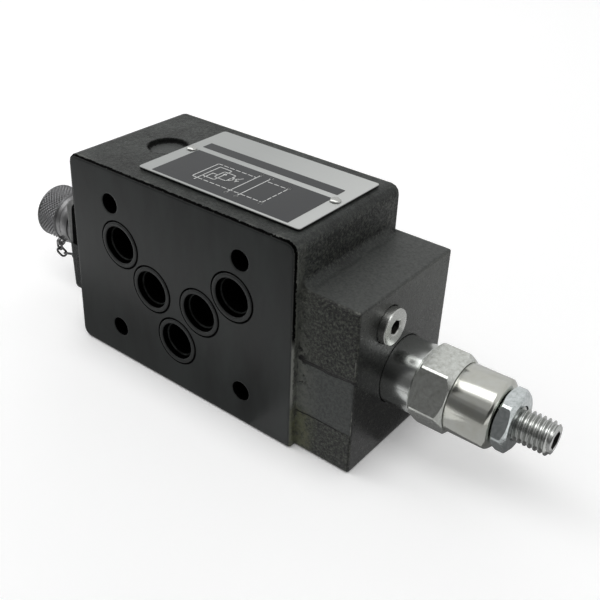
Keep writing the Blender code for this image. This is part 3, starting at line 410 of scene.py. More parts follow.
def off_centre(across, along, centre):
    first = iron.maths("SUBTRACT", across, centre[0] * MM)
    second = iron.maths("SUBTRACT", along, centre[1] * MM)
    squares = iron.maths("ADD", iron.maths("MULTIPLY", first, first),
                         iron.maths("MULTIPLY", second, second))
    return iron.maths("SQRT", squares)


# A thin black ring round each seal: painted shade in the gap between the seal and its counterbore.
seat_gap_shade = iron.band(off_centre(east, height, PORTS["p"]), 7.95 * MM, 8.30 * MM, 0.15 * MM)
# The walls of the ports and bolt holes are painted black: painted shade inside the holes.
bore_shade = iron.fit(east, 1.0, 2.0)
# A thin, broken light ring at the bottom of each counterbore: a painted highlight on the bore's
# edge.
bore_lip_highlight = bore_shade
for centre in PORTS.values():
    away = off_centre(east, height, centre)
    seat_gap_shade = iron.maths("MAXIMUM", seat_gap_shade, iron.band(away, 7.95 * MM, 8.30 * MM, 0.15 * MM))
    bore_shade = iron.maths("MAXIMUM", bore_shade, iron.fit(away, 8.15 * MM, 8.05 * MM))
    bore_lip_highlight = iron.maths("MAXIMUM", bore_lip_highlight, iron.band(away, 5.4 * MM, 5.75 * MM, 0.1 * MM))
bore_lip_highlight = iron.maths("MULTIPLY", bore_lip_highlight, iron.band(depth_in, 1.3 * MM, 1.8 * MM, 0.2 * MM))
bore_lip_highlight = iron.maths("MULTIPLY", bore_lip_highlight, iron.fit(iron.noise(300, 3.0), 0.35, 0.6, 0.3, 1))
for centre in BOLTS:
    bore_shade = iron.maths("MAXIMUM", bore_shade, iron.fit(off_centre(east, height, centre),
                                                  3.7 * MM, 3.55 * MM))
bore_shade = iron.maths("MULTIPLY", bore_shade, iron.fit(depth_in, 0.05 * MM, 0.4 * MM))
from_recess = iron.maths("ADD", off_centre(east, depth_in, (-25.8, 24.8)),
                         iron.maths("MULTIPLY", ragged, 1.6))
on_top = iron.fit(height, 33.0 * MM, 33.2 * MM)
recess_rim = iron.maths("MULTIPLY", iron.band(from_recess, 6.0 * MM, 6.9 * MM, 0.15 * MM), on_top)
# The recess floor is painted lighter than the skin round it: painted light in the shaded hollow.
recess_floor_light = iron.maths("MULTIPLY", iron.fit(from_recess, 6.2 * MM, 5.8 * MM),
                          iron.fit(height, 34.6 * MM, 34.4 * MM))
recess_floor_light = iron.maths("MULTIPLY", recess_floor_light, on_top)
print("bores ready:", len(PORTS) + len(BOLTS))

# %% Marks of the mould on the boss
wander = iron.fit(iron.noise(140, 3.0), 0.3, 0.7, -0.4 * MM, 0.4 * MM)
wavy_height = iron.maths("ADD", height, wander)
high_line = iron.band(wavy_height, -2.40 * MM, -1.75 * MM, 0.35 * MM)
low_line = iron.band(wavy_height, -21.1 * MM, -20.85 * MM, 0.22 * MM)
low_line = iron.maths("MULTIPLY", low_line, iron.fit(east, 65.0 * MM, 60.0 * MM))
mould_lines = iron.maths("MULTIPLY", iron.maths("MAXIMUM", high_line, low_line), boss_front)
smooth_patch = iron.maths(
    "MULTIPLY", iron.band(wavy_height, -20.5 * MM, -2.5 * MM, 0.6 * MM), boss_front
)
print("mould marks ready")

# %% Colours of the cast skin and the ground faces, with painted light and shade on the boss
patches = iron.fit(iron.noise(90, 6.0, 0.65), 0.34, 0.68)
cast_colour = iron.mix(patches, (0.010, 0.0115, 0.0105), (0.042, 0.047, 0.044))
cast_colour = iron.mix(iron.maths("MULTIPLY", smooth_patch, 0.85), cast_colour,
                       (0.054, 0.059, 0.057))
boss_top = iron.maths("MULTIPLY", iron.band(height, BOSS_TOP - 0.5 * MM, BOSS_TOP + MM, 0.3 * MM),
                      iron.fit(east, 48.0 * MM, 51.0 * MM))
cast_colour = iron.mix(iron.maths("MULTIPLY", boss_top, 0.8), cast_colour, (0.072, 0.076, 0.073))
# Painted light and shade on the boss's end face: near black low down and towards the front, lighter
# up and towards the back.
boss_end_light_ramp = iron.maths("ADD", height, iron.maths("MULTIPLY", depth_in, 0.7))
boss_end_light_ramp = iron.maths("ADD", boss_end_light_ramp, iron.fit(patches, 0, 1, -3 * MM, 3 * MM))
cast_colour = iron.mix(boss_end, cast_colour, iron.mix(
    iron.fit(boss_end_light_ramp, 12 * MM, 44 * MM), (0.003, 0.0035, 0.003), (0.080, 0.086, 0.078)))
rough_front = iron.maths("SUBTRACT", boss_front, smooth_patch, clamp=True)
sand = iron.noise(1150, 4.0, 0.8)
step_wall = iron.maths("MULTIPLY", iron.fit(east, 46.2 * MM, 46.6 * MM),
                       iron.fit(height, 21.5 * MM, 23.0 * MM))
contrast = iron.fit(iron.maths("MAXIMUM", rough_front, step_wall), 0, 1, 0.35, 1.0)
contrast = iron.maths("MULTIPLY", contrast, iron.fit(boss_top, 0, 1, 1.0, 0.8))
# A darker band on the boss's rough front just under its top edge: painted shade under the edge.
brow_shade = iron.maths("MULTIPLY", rough_front, iron.fit(height, 15.5 * MM, 20.0 * MM, 0, 0.6))
cast_colour = iron.mix(iron.maths("MULTIPLY", rough_front, 0.6), cast_colour, (0.034, 0.037, 0.029))
cast_colour = iron.mix(brow_shade, cast_colour, (0.010, 0.010, 0.009))
pits = iron.maths("MULTIPLY", iron.fit(sand, 0.50, 0.44), contrast)
cast_colour = iron.mix(pits, cast_colour, (0.0025, 0.0025, 0.0025))
speckle = iron.maths("MULTIPLY", iron.fit(sand, 0.52, 0.62), contrast)
cast_colour = iron.mix(iron.maths("MULTIPLY", speckle, 0.7), cast_colour, (0.11, 0.118, 0.095))
ragged_east = iron.maths("ADD", east, iron.maths("MULTIPLY", ragged, 4.0))
olive_low = iron.maths("MULTIPLY", iron.fit(ragged_east, 53.0 * MM, 50.5 * MM),
                       iron.fit(height, -18.0 * MM, -21.0 * MM))
olive_high = iron.maths("MULTIPLY", iron.fit(ragged_east, 55.0 * MM, 46.7 * MM),
                        iron.fit(height, 14.0 * MM, -6.0 * MM, 0.35, 0.85))
olive = iron.maths("MULTIPLY", iron.maths("MAXIMUM", olive_low, olive_high),
                   iron.fit(depth_in, 6.0 * MM, 3.0 * MM))
olive = iron.maths("MULTIPLY", olive, iron.fit(east, 45.8 * MM, 46.2 * MM))
olive = iron.maths("MULTIPLY", olive, iron.fit(iron.noise(420, 5.0, 0.7), 0.38, 0.54, 0.15, 1))
blots = iron.maths("MULTIPLY", iron.fit(iron.noise(330, 4.0, 0.7), 0.52, 0.56),
                   iron.fit(east, 52.0 * MM, 48.5 * MM))
blots = iron.maths("MULTIPLY", blots, iron.band(height, -10.0 * MM, 8.0 * MM, 2.0 * MM))
blots = iron.maths("MULTIPLY", blots, boss_front)
olive_tint = iron.mix(iron.fit(height, -21.0 * MM, -18.0 * MM), (0.092, 0.098, 0.056),
                      (0.130, 0.137, 0.118))
cast_colour = iron.mix(olive, cast_colour, olive_tint)
cast_colour = iron.mix(iron.maths("MAXIMUM", mould_lines, blots), cast_colour,
                       (0.002, 0.002, 0.002))
cast_colour = iron.mix(recess_floor_light, cast_colour, (0.070, 0.075, 0.072))
smudges = iron.noise(34, 4.0, 0.6, iron.stretched((1.6, 1.0, 0.5), (0, 38, 0)))
ground_colour = iron.mix(
    iron.fit(smudges, 0.36, 0.64), (0.0010, 0.0025, 0.0020), (0.0190, 0.0230, 0.0220)
)
# The pad under the test point: its lower part takes the ground faces' colour, a band at its far end
# a light grey, and the rest is painted black, painted shade beside the test point.
pad = iron.maths("MULTIPLY", iron.fit(east, -46.9 * MM, -47.4 * MM),
                 iron.fit(depth_in, 12.0 * MM, 11.0 * MM))
pad_low = iron.maths("MULTIPLY", pad, iron.fit(height, -1.0 * MM, -2.0 * MM))
pad_slope = iron.maths("ADD", east, iron.maths("MULTIPLY", height, -0.10))
pad_light_end = iron.maths("MULTIPLY", pad, iron.fit(pad_slope, -51.8 * MM, -52.2 * MM))
pad_light_end = iron.maths("MULTIPLY", pad_light_end, iron.fit(height, -2.0 * MM, 0.0))
dressed = iron.mix(iron.maths("MAXIMUM", ground, pad_low), cast_colour, ground_colour)
dressed = iron.mix(pad_light_end, dressed, (0.14, 0.143, 0.14))
# The recess wall is darkened towards black: painted shade in the recess.
recess_wall_shade = iron.maths("MULTIPLY", recess_rim, 0.55)
black_shade_parts = iron.maths("MAXIMUM", rim, iron.maths("MAXIMUM", bore_shade, recess_wall_shade))
black_shade_parts = iron.maths("MAXIMUM", black_shade_parts, seat_gap_shade)
pad_shade = iron.maths("SUBTRACT", pad, iron.maths("MAXIMUM", pad_low, pad_light_end), clamp=True)
black_shade_parts = iron.maths("MAXIMUM", black_shade_parts, pad_shade)
# These black shade parts are made metallic and near black, so that the painted shade shows no sheen.
iron.link(iron.maths("MULTIPLY", black_shade_parts, 0.95), iron.shader.inputs["Metallic"])
dressed = iron.mix(black_shade_parts, dressed, (0.0012, 0.0012, 0.0012))
dressed = iron.mix(bore_lip_highlight, dressed, (0.075, 0.080, 0.078))
print("iron colours ready")

# %% Rounded edges, wear, painted highlights and grain
soft_normal = iron.rounded(0.9 * MM)
flat_normal = iron.tree.nodes.new("ShaderNodeNewGeometry").outputs["True Normal"]
likeness = iron.tree.nodes.new("ShaderNodeVectorMath")
likeness.operation = "DOT_PRODUCT"
iron.link(soft_normal, likeness.inputs[0])
iron.link(flat_normal, likeness.inputs[1])
near_edge = iron.fit(likeness.outputs["Value"], 0.97, 0.86)
# Light edges: chips of wear on all edges, a broken light line on the lip above the rim, light lines
# down the boss's front corner and the port face's right edge, and a painted highlight that grows
# towards the top front corner of the boss.
chips = iron.fit(iron.noise(520, 4.0, 0.7), 0.60, 0.68)
wear_and_highlights = iron.maths("MULTIPLY", iron.maths("MULTIPLY", near_edge, chips), 0.75)
wear_and_highlights = iron.maths("MAXIMUM", wear_and_highlights, iron.maths("MULTIPLY", lip, iron.fit(patches, 0.4, 0.7, 0, 0.30)))
boss_corner = iron.maths("MULTIPLY", iron.fit(east, 66.0 * MM, 66.25 * MM),
                         iron.fit(depth_in, 2.85 * MM, 2.65 * MM))
streaks = iron.maths("MAXIMUM", iron.band(height, -20.0 * MM, -13.0 * MM, 2.0 * MM),
                     iron.band(height, 0.0 * MM, 6.0 * MM, 2.0 * MM))
streaks = iron.maths("MULTIPLY", streaks, iron.fit(iron.noise(500, 4.0, 0.7), 0.42, 0.56))
wear_and_highlights = iron.maths("MAXIMUM", wear_and_highlights, iron.maths("MULTIPLY", boss_corner, streaks))
wear_and_highlights = iron.maths("MAXIMUM", wear_and_highlights, right_edge_light_line)
brow_wear_and_glint = iron.maths("MAXIMUM", iron.fit(iron.noise(620, 4.0, 0.7), 0.50, 0.62, 0, 0.45),
                       iron.fit(east, 64.2 * MM, 65.2 * MM))
wear_and_highlights = iron.maths("MAXIMUM", wear_and_highlights, iron.maths("MULTIPLY", boss_brow, brow_wear_and_glint))
wear_and_highlights = iron.maths("MULTIPLY", iron.maths("MULTIPLY", wear_and_highlights, skin),
                  iron.maths("SUBTRACT", 1.0, black_shade_parts))
iron.colour(iron.mix(wear_and_highlights, dressed, (0.21, 0.215, 0.195)))
grains = iron.noise(1100, 2.0)
cast_rough = iron.maths("SUBTRACT", iron.fit(grains, 0.3, 0.7, 0.40, 0.58),
                        iron.maths("MULTIPLY", boss_end, 0.16))
ground_rough = iron.fit(smudges, 0.3, 0.7, 0.30, 0.48)
rough_mix = iron.tree.nodes.new("ShaderNodeMix")
iron.link(ground, rough_mix.inputs[0])
iron.link(cast_rough, rough_mix.inputs[2])
iron.link(ground_rough, rough_mix.inputs[3])
iron.roughness(iron.maths("MAXIMUM", rough_mix.outputs[0], black_shade_parts))
rough_skin = iron.maths("MULTIPLY", skin, iron.fit(smooth_patch, 0, 1, 1.0, 0.25))
rough_skin = iron.maths("MULTIPLY", rough_skin, iron.fit(iron.maths("MAXIMUM", boss_end, boss_top),
                                                         0, 1, 1.0, 0.2))
iron.bump(iron.maths("MULTIPLY", iron.noise(260, 6.0, 0.65), rough_skin), 0.6, 0.55 * MM)
iron.bump(iron.maths("MULTIPLY", sand, rough_skin), 0.7, 0.30 * MM)
iron.bump(iron.maths("SUBTRACT", 1.0, mould_lines), 0.9, 0.35 * MM)
print("iron nodes:", len(iron.tree.nodes))

# %% [markdown]
# ## Plated and bare steel
#
# Zinc plating is bright and slightly warm, with fine turning lines round the axis and faint
# stains. Turning lines are noise that is stretched: fast along X and slow around the part.

# %% Steels
def steel(name, colour, stain, roughness, lines=0.5, spread=0.08, grain=260):
    made = Finish(name, colour, roughness, 1.0)
    blotches = made.noise(grain, 6.0, 0.65)
    made.colour(made.mix(made.fit(blotches, 0.35, 0.75), colour, stain))
    made.roughness(made.fit(blotches, 0.3, 0.7, roughness - spread / 2, roughness + spread / 2))
    if lines > 0:
        rings = made.noise(1.0, 2.0, 0.6, made.stretched((9000, 120, 120)))
        made.bump(rings, lines, 0.012 * MM)
    return made


zinc = steel("zinc_turned", (0.59, 0.60, 0.565), (0.54, 0.54, 0.485), 0.16, 0.4, 0.04)
collar_zinc = steel("zinc_collar", (0.56, 0.58, 0.57), (0.52, 0.53, 0.51), 0.19, 0.15, 0.03)
zinc_flat = steel("zinc_milled", (0.72, 0.74, 0.71), (0.48, 0.49, 0.45), 0.22, 0.0, 0.05, 850)
nut_zinc = steel("zinc_nut", (0.72, 0.76, 0.77), (0.48, 0.52, 0.51), 0.21, 0.0, 0.05, 850)
plug_zinc = steel("zinc_plug", (0.52, 0.53, 0.51), (0.47, 0.47, 0.45), 0.27, 0.2, 0.05)
zinc.bump(zinc.noise(1.0, 3.0, 0.6, zinc.stretched((250, 3200, 3200))), 0.10, 0.02 * MM)
thread_steel = steel("zinc_thread", (0.54, 0.55, 0.54), (0.44, 0.45, 0.43), 0.25, 0.0)
dull = steel("dull_plating", (0.165, 0.166, 0.17), (0.12, 0.12, 0.12), 0.42, 0.25)
cap_dull = steel("dull_plating_cap", (0.22, 0.22, 0.223), (0.18, 0.18, 0.18), 0.42, 0.15)
bright = steel("ground_steel", (0.55, 0.56, 0.58), (0.50, 0.50, 0.50), 0.20, 0.3)
# A dark steel for the inside of the sockets: painted shade in them.
socket_shade_steel = steel("socket_painted_shade", (0.10, 0.10, 0.095), (0.05, 0.05, 0.045), 0.45, 0.0)
wire = steel("spring_wire", (0.22, 0.22, 0.23), (0.15, 0.15, 0.16), 0.35, 0.0)
for milled in (zinc_flat, nut_zinc):
    milled.bump(milled.noise(1500, 4.0, 0.7), 0.6, 0.05 * MM)
    scratches = milled.noise(1.0, 3.0, 0.6, milled.stretched((500, 5200, 5200), (0, 20, 0)))
    milled.bump(scratches, 0.3, 0.03 * MM)
print("steels ready")

# %% Rubber, plastic and plate
rubber = Finish("seal_rubber", (0.010, 0.012, 0.0115), 0.45)
rubber.colour(rubber.mix(rubber.noise(300, 3.0), (0.007, 0.008, 0.008), (0.014, 0.016, 0.0155)))
rubber.shader.inputs["Specular IOR Level"].default_value = 0.34
rubber.bump(rubber.noise(2500, 2.0), 0.2, 0.02 * MM)
seal = Finish("seal_rubber_port", (0.012, 0.014, 0.0135), 0.45)
seal.shader.inputs["Specular IOR Level"].default_value = 0.34
# The parts of each seal below the port face are black and metallic: painted shade inside the port.
seal_shade_in_port = seal.fit(seal.along("Y"), -0.16 * MM, 0.05 * MM)
seal.colour(seal.mix(seal_shade_in_port, (0.013, 0.015, 0.0145), (0.001, 0.001, 0.001)))
seal.link(seal.maths("MULTIPLY", seal_shade_in_port, 0.9), seal.shader.inputs["Metallic"])
seal.bump(seal.noise(2500, 2.0), 0.2, 0.02 * MM)
backup = Finish("backup_plastic", (0.72, 0.71, 0.66), 0.5)
backup.colour(backup.mix(backup.noise(400, 2.0), (0.70, 0.69, 0.64), (0.78, 0.77, 0.73)))
alloy = Finish("plate_alloy", (0.50, 0.51, 0.50), 0.38, 0.6)
brushing = alloy.noise(1.0, 3.0, 0.6, alloy.stretched((60, 5200, 60)))
sheet = alloy.mix(brushing, (0.42, 0.435, 0.425), (0.50, 0.515, 0.505))
# The plate is painted lighter towards +X: painted light across it.
sheet = alloy.mix(alloy.fit(alloy.along("X"), 0, 45 * MM), sheet, (0.62, 0.635, 0.62))
# From 0.15 mm below its top the plate turns near black: painted shade on its edges and under it.
alloy.colour(alloy.mix(alloy.fit(alloy.along("Z"), 35.85 * MM, 35.70 * MM), sheet,
                       (0.012, 0.012, 0.012)))
alloy.bump(brushing, 0.12, 0.02 * MM)
ink = Finish("plate_ink", (0.020, 0.022, 0.024), 0.42)
ink.colour(ink.mix(ink.noise(160, 3.0), (0.016, 0.018, 0.020), (0.024, 0.026, 0.028)))
print("rubber, plastic and plate ready")

# %% [markdown]
# ## Turned parts
#
# Nearly everything on the main axis was made on a lathe, so it is made the same way here: a
# profile of (along, radius) pairs is spun about the axis. Flats come after, as they do on a
# milling machine, by cutting a hexagonal tube away with a Boolean.

# %% Helpers for turned parts
AXIS = Vector((0, 26.5 * MM, -10.0 * MM))


def spun(profile, steps=96, closed=True):
    """A profile in millimetres, spun about X."""
    bm = bmesh.new()
    points = [bm.verts.new((along * MM, 0, radius * MM)) for along, radius in profile]
    edges = [bm.edges.new(pair) for pair in zip(points, points[1:])]
    if closed:
        edges.append(bm.edges.new((points[-1], points[0])))
    bmesh.ops.spin(
        bm, geom=points + edges, cent=(0, 0, 0), axis=(1, 0, 0), dvec=(0, 0, 0),
        angle=math.tau, steps=steps, use_merge=True, use_duplicate=False,
    )
    bmesh.ops.remove_doubles(bm, verts=bm.verts, dist=1e-7)
    return bm


def finished(name, bm, finish, body, place=AXIS, sharp=30):
    """Closes a bmesh into an object that rides on a body, with its place in its mesh."""
    bmesh.ops.translate(bm, vec=place, verts=bm.verts)
    bmesh.ops.recalc_face_normals(bm, faces=bm.faces)
    mesh = bpy.data.meshes.new(name)
    bm.to_mesh(mesh)
    bm.free()
    mesh.shade_smooth()
    mesh.set_sharp_from_angle(angle=math.radians(sharp))
    mesh.materials.append(finish.material)
    made = bpy.data.objects.new(name, mesh)
    bpy.context.scene.collection.objects.link(made)
    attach(made, body)
    return made


TO_X = Matrix(((0, 0, 1), (1, 0, 0), (0, 1, 0))).to_4x4()


def hexagon(bm, flats, turn, along, filled=False):
    """Six points round X at one place along it. The turn is the first corner's angle."""
    place = Matrix.Translation((along * MM, 0, 0)) @ TO_X
    place = place @ Matrix.Rotation(math.radians(turn - 90), 4, "Z")
    return bmesh.ops.create_circle(
        bm, cap_ends=filled, segments=6, radius=flats * MM / math.sqrt(3), matrix=place
    )["verts"]


def drawn_out(bm, faces, length):
    """Draws faces out along X into a solid."""
    drawn = bmesh.ops.extrude_face_region(bm, geom=faces)["geom"]
    moved = [item for item in drawn if isinstance(item, bmesh.types.BMVert)]
    bmesh.ops.translate(bm, vec=(length * MM, 0, 0), verts=moved)
    return bm


def hex_tube(flats, turn, start, end, reach):
    """What the milling cutter takes off: everything outside six flats."""
    bm = bmesh.new()
    hexagon(bm, flats, turn, start)
    hexagon(bm, 2 * reach, turn, start)
    bmesh.ops.bridge_loops(bm, edges=bm.edges[:])
    return drawn_out(bm, bm.faces[:], end - start)


def hex_bar(flats, turn, start, end):
    """A hexagon drawn out along X, the shape of a key's socket."""
    bm = bmesh.new()
    hexagon(bm, flats, turn, start, True)
    return drawn_out(bm, bm.faces[:], end - start)


def carve(piece, bm, place=AXIS, sharp=30):
    """Cuts a bmesh out of a piece and keeps only the result."""
    bmesh.ops.translate(bm, vec=place, verts=bm.verts)
    bmesh.ops.recalc_face_normals(bm, faces=bm.faces)
    mesh = bpy.data.meshes.new("cutter")
    bm.to_mesh(mesh)
    bm.free()
    tool = bpy.data.objects.new("cutter", mesh)
    bpy.context.scene.collection.objects.link(tool)
    step = piece.modifiers.new("cut", "BOOLEAN")
    step.operation = "DIFFERENCE"
    step.solver = "EXACT"
    step.object = tool
    bpy.context.view_layer.update()
    result = piece.evaluated_get(bpy.context.evaluated_depsgraph_get())
    fresh = bpy.data.meshes.new_from_object(result)
    piece.modifiers.remove(step)
    old = piece.data
    piece.data = fresh
    fresh.name = piece.name
    bpy.data.meshes.remove(old)
    bpy.data.objects.remove(tool)
    bpy.data.meshes.remove(mesh)
    fresh.set_sharp_from_angle(angle=math.radians(sharp))
    return piece


def dark_inside(piece, finish, middle, radius, start, end):
    """Gives the faces inside a socket a dark steel: painted shade inside the socket."""
    piece.data.materials.append(finish.material)
    count = 0
    for face in piece.data.polygons:
        spot = face.center / MM
        off = math.hypot(spot.y - middle[0], spot.z - middle[1])
        if off < radius and start < spot.x < end and abs(face.normal.x) < 0.99:
            face.material_index = len(piece.data.materials) - 1
            count += 1
    return count


print("turning helpers ready")

# %% [markdown]
# ## Port seals
#
# Each port has a ring seal in a counterbore. The rings are square in section with softened
# edges, and stand a little proud of the face, so that the next plate squeezes them flat.

# %% Five ring seals
seal_section = [
    (1.28, 6.38), (1.28, 7.72), (1.1, 7.8), (0.05, 7.8), (-0.17, 7.72), (-0.27, 7.55),
    (-0.3, 7.40), (-0.3, 6.70), (-0.27, 6.55), (-0.17, 6.38), (0.05, 6.3), (1.1, 6.3),
]
for name, (x, z) in PORTS.items():
    bm = spun(seal_section, 96)
    bmesh.ops.rotate(bm, cent=(0, 0, 0), matrix=Matrix.Rotation(math.pi / 2, 3, "Z"),
                     verts=bm.verts)
    ring = finished("ring_seal_" + name, bm, seal, "valve", Vector((x * MM, 0, z * MM)), 40)
    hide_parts("port_seal_" + name)
print("port seals:", len(PORTS))

# %% [markdown]
# ## The cartridge
#
# The cartridge's hexagon has rounded corners because it starts as a turned blank. Its bonnet
# is a plain turned cylinder with a bevel at the far end.

# %% Collar and hexagon
collar = spun([
    (52.5, 7.2), (52.5, 9.0), (53.2, 9.7), (58.6, 9.7), (58.6, 8.9), (60.5, 8.9), (60.5, 10.4),
    (60.9, 10.8), (62.3, 10.8), (62.3, 9.25), (64.2, 9.25), (64.2, 10.8), (75.85, 10.8),
    (76.05, 10.65), (76.2, 10.55), (76.32, 10.7), (76.45, 11.3), (77.1, 12.35), (77.5, 12.5),
    (85.6, 12.5), (85.9, 12.2), (87.1, 10.85), (87.2, 10.7), (87.2, 8.5),
    (79.9, 8.5), (79.9, 6.2), (58.5, 6.2), (58.5, 7.2),
], 144)
cartridge = finished("cartridge_turned", collar, zinc_flat, "valve")
carve(cartridge, hex_tube(22.0, 126.0, 76.0, 90.0, 20.0), sharp=12)
cartridge.data.materials.append(collar_zinc.material)
for face in cartridge.data.polygons:
    if face.center.x < 76.35 * MM:
        face.material_index = 1
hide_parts("cartridge_body")

# %% Bonnet
bonnet = spun([
    (80.2, 6.2), (80.2, 7.8), (80.6, 8.2), (82.53, 8.2), (82.53, 6.65), (84.43, 6.65),
    (84.43, 8.2), (87.3, 8.2), (87.3, 10.3), (87.38, 10.5), (87.55, 10.6), (98.6, 10.6),
    (99.1, 10.55), (99.4, 10.35), (100.05, 9.6), (100.2, 9.35), (100.2, 5.3), (92.2, 5.3),
    (92.2, 6.2),
], 144)
bonnet_piece = finished("bonnet_turned", bonnet, zinc, "valve", sharp=35)
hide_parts("cartridge_bonnet")

# %% Locknut
nut_blank = spun([
    (100.5, 5.3), (100.5, 7.9), (100.6, 8.1), (101.5, 9.45), (101.7, 9.6), (103.9, 9.6),
    (104.2, 9.45), (105.15, 8.05), (105.25, 7.85), (105.3, 7.6), (105.3, 5.3),
], 120)
nut_piece = finished("locknut_turned", nut_blank, nut_zinc, "locknut")
carve(nut_piece, hex_tube(17.0, 124.5, 99.0, 107.0, 15.0), sharp=18)
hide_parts("locknut")
print("cartridge, bonnet and locknut ready")

# %% [markdown]
# ## The adjusting spindle's thread
#
# A thread is a profile that is spun and moved along the axis at the same time. One pitch of
# the profile is spun with a step along X, and the copies of it meet, turn after turn. Both
# ends are then cut off square, closed, and bevelled by drawing their points inwards.

# %% A screw thread
PITCH = 1.5


def threaded(start, end, core, crest, pitch, bevel, steps=60):
    """A screw along X from start to end, in millimetres."""
    bm = bmesh.new()
    first = start - 2 * pitch
    turns = int((end - start) / pitch) + 4
    section = [(0.0, core), (0.25, core), (0.5625, crest), (0.6875, crest), (1.0, core)]
    points = [
        bm.verts.new(((first + share * pitch) * MM, 0, radius * MM)) for share, radius in section
    ]
    edges = [bm.edges.new(pair) for pair in zip(points, points[1:])]
    bmesh.ops.spin(
        bm, geom=points + edges, cent=(0, 0, 0), axis=(1, 0, 0),
        dvec=(pitch * MM / steps, 0, 0), angle=math.tau * turns, steps=steps * turns,
        use_merge=False, use_duplicate=False,
    )
    bmesh.ops.remove_doubles(bm, verts=bm.verts, dist=1e-6)
    for place, way in ((start, (-1, 0, 0)), (end, (1, 0, 0))):
        cut = bmesh.ops.bisect_plane(
            bm, geom=bm.verts[:] + bm.edges[:] + bm.faces[:], dist=1e-8,
            plane_co=(place * MM, 0, 0), plane_no=way, clear_outer=True, clear_inner=False,
        )["geom_cut"]
        rim = [item for item in cut if isinstance(item, bmesh.types.BMEdge)]
        bmesh.ops.holes_fill(bm, edges=rim, sides=0)
    for vert in bm.verts:
        radius = math.hypot(vert.co.y, vert.co.z)
        from_end = min(vert.co.x / MM - start, end - vert.co.x / MM)
        limit = (crest - bevel + from_end * 0.9) * MM
        if radius > limit:
            vert.co.y *= limit / radius
            vert.co.z *= limit / radius
    return bm


spindle_piece = finished(
    "spindle_threaded", threaded(90.7, 115.9, 4.12, 5.0, PITCH, 0.85), thread_steel, "spindle",
    sharp=24,
)
carve(spindle_piece, hex_bar(5.0, 10.0, 109.9, 118.0), sharp=24)
print("socket faces:", dark_inside(spindle_piece, socket_shade_steel, (26.5, -10.0), 2.95, 109, 115.85))
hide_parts("adjusting_spindle")
print("spindle faces:", len(spindle_piece.data.polygons))

# %% [markdown]
# ## The drain plug
#
# A headed socket screw beside the cartridge closes the drain drilling. The head is turned,
# with a bevelled rim and a shallow funnel into its socket.

# %% Drain plug
PLUG = Vector((0, 17.3 * MM, 10.3 * MM))
plug_blank = spun([
    (56.5, 0), (56.5, 3.3), (57.1, 3.9), (66.1, 3.9), (66.1, 5.45), (66.25, 5.6), (68.65, 5.6),
    (68.9, 5.45), (69.0, 5.2), (69.0, 2.65), (68.75, 2.3), (68.75, 0),
], 96, closed=False)
plug_piece = finished("plug_turned", plug_blank, plug_zinc, "valve", PLUG)
carve(plug_piece, hex_bar(4.0, 30.0, 65.8, 70.0), PLUG, 24)
print("socket faces:", dark_inside(plug_piece, socket_shade_steel, (17.3, 10.3), 2.35, 65, 68.95))
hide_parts("drain_plug")
print("plug faces:", len(plug_piece.data.polygons))

# %% [markdown]
# ## The test point
#
# A gauge hose screws on here once the cap is off. The fitting has a hexagon, a neck for the
# chain's ring and a threaded nose under the cap.

# %% Test point body
nose_turns = [(-85.2, 7.7)]
along = -84.6
while along < -75.6:
    nose_turns += [(along, 7.7), (along + 0.5, 7.05), (along + 1.0, 7.7)]
    along += 1.4
tp_blank = spun([
    (-40.5, 1.5), (-40.5, 5.6), (-41.2, 6.3), (-55.3, 6.3), (-55.3, 9.3), (-55.45, 9.4),
    (-56.2, 9.4), (-56.4, 9.6), (-57.0, 10.55), (-57.4, 10.7), (-69.3, 10.7), (-69.8, 10.4),
    (-70.2, 9.6), (-70.3, 9.1), (-70.3, 8.4), (-74.3, 8.4), (-74.3, 7.7),
    *nose_turns[::-1], (-85.9, 7.0), (-85.9, 3.6), (-82.9, 3.6), (-82.9, 1.3), (-81.4, 1.3),
    (-81.4, 2.9), (-66.4, 2.9), (-66.4, 1.5),
], 96)
test_point = finished("test_point_turned", tp_blank, zinc_flat, "valve")
carve(test_point, hex_tube(19.0, 100.0, -70.6, -56.3, 16.0), sharp=18)
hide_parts("test_point_body")
print("test point faces:", len(test_point.data.polygons))

# %% [markdown]
# ## The knurled cap
#
# A diamond knurl is two sets of slanting grooves that cross. The grip is spun with many fine
# steps, and each of its points is then drawn in or out by the two crossing waves, which fade
# away at the grip's edges.

# %% Knurled dust cap
GRIP_START, GRIP_END = -90.5, -81.0
KNURL_TEETH = 42
KNURL_DEPTH = 0.42
grip_steps = 54
cap_profile = [
    (-87.7, 0), (-87.7, 8.0), (-74.6, 8.0), (-74.6, 9.35), (-74.75, 9.6), (-75.0, 9.7),
    (-78.4, 9.7), (-78.5, 9.62), (-78.5, 9.0), (-80.5, 9.0), (-80.5, 9.74), (-80.58, 9.84),
]
for k in range(grip_steps + 1):
    cap_profile.append((GRIP_END + (GRIP_START - GRIP_END) * k / grip_steps, 10.1))
cap_profile += [(-90.85, 9.95), (-91.05, 9.75), (-91.17, 9.5), (-91.2, 9.2), (-91.2, 0)]
cap_bm = spun(cap_profile, KNURL_TEETH * 8, closed=False)
for vert in cap_bm.verts:
    along = vert.co.x / MM
    radius = math.hypot(vert.co.y, vert.co.z)
    if GRIP_START - 0.01 < along < GRIP_END + 0.01 and radius > 9.9 * MM:
        angle = math.atan2(vert.co.z, vert.co.y)
        climb = (along - GRIP_START) * KNURL_TEETH / 10.1
        one = math.cos(KNURL_TEETH * angle + climb)
        two = math.cos(KNURL_TEETH * angle - climb)
        fade = min(1.0, (along - GRIP_START) / 0.5, (GRIP_END - along) / 0.5)
        shift = KNURL_DEPTH * max(0.0, fade) * (min(one, two) - 1.0) / 2
        scale = (radius + shift * MM) / radius
        vert.co.y *= scale
        vert.co.z *= scale
cap_piece = finished("cap_knurled", cap_bm, dull, "cap", sharp=50)
cap_piece.data.materials.append(cap_dull.material)
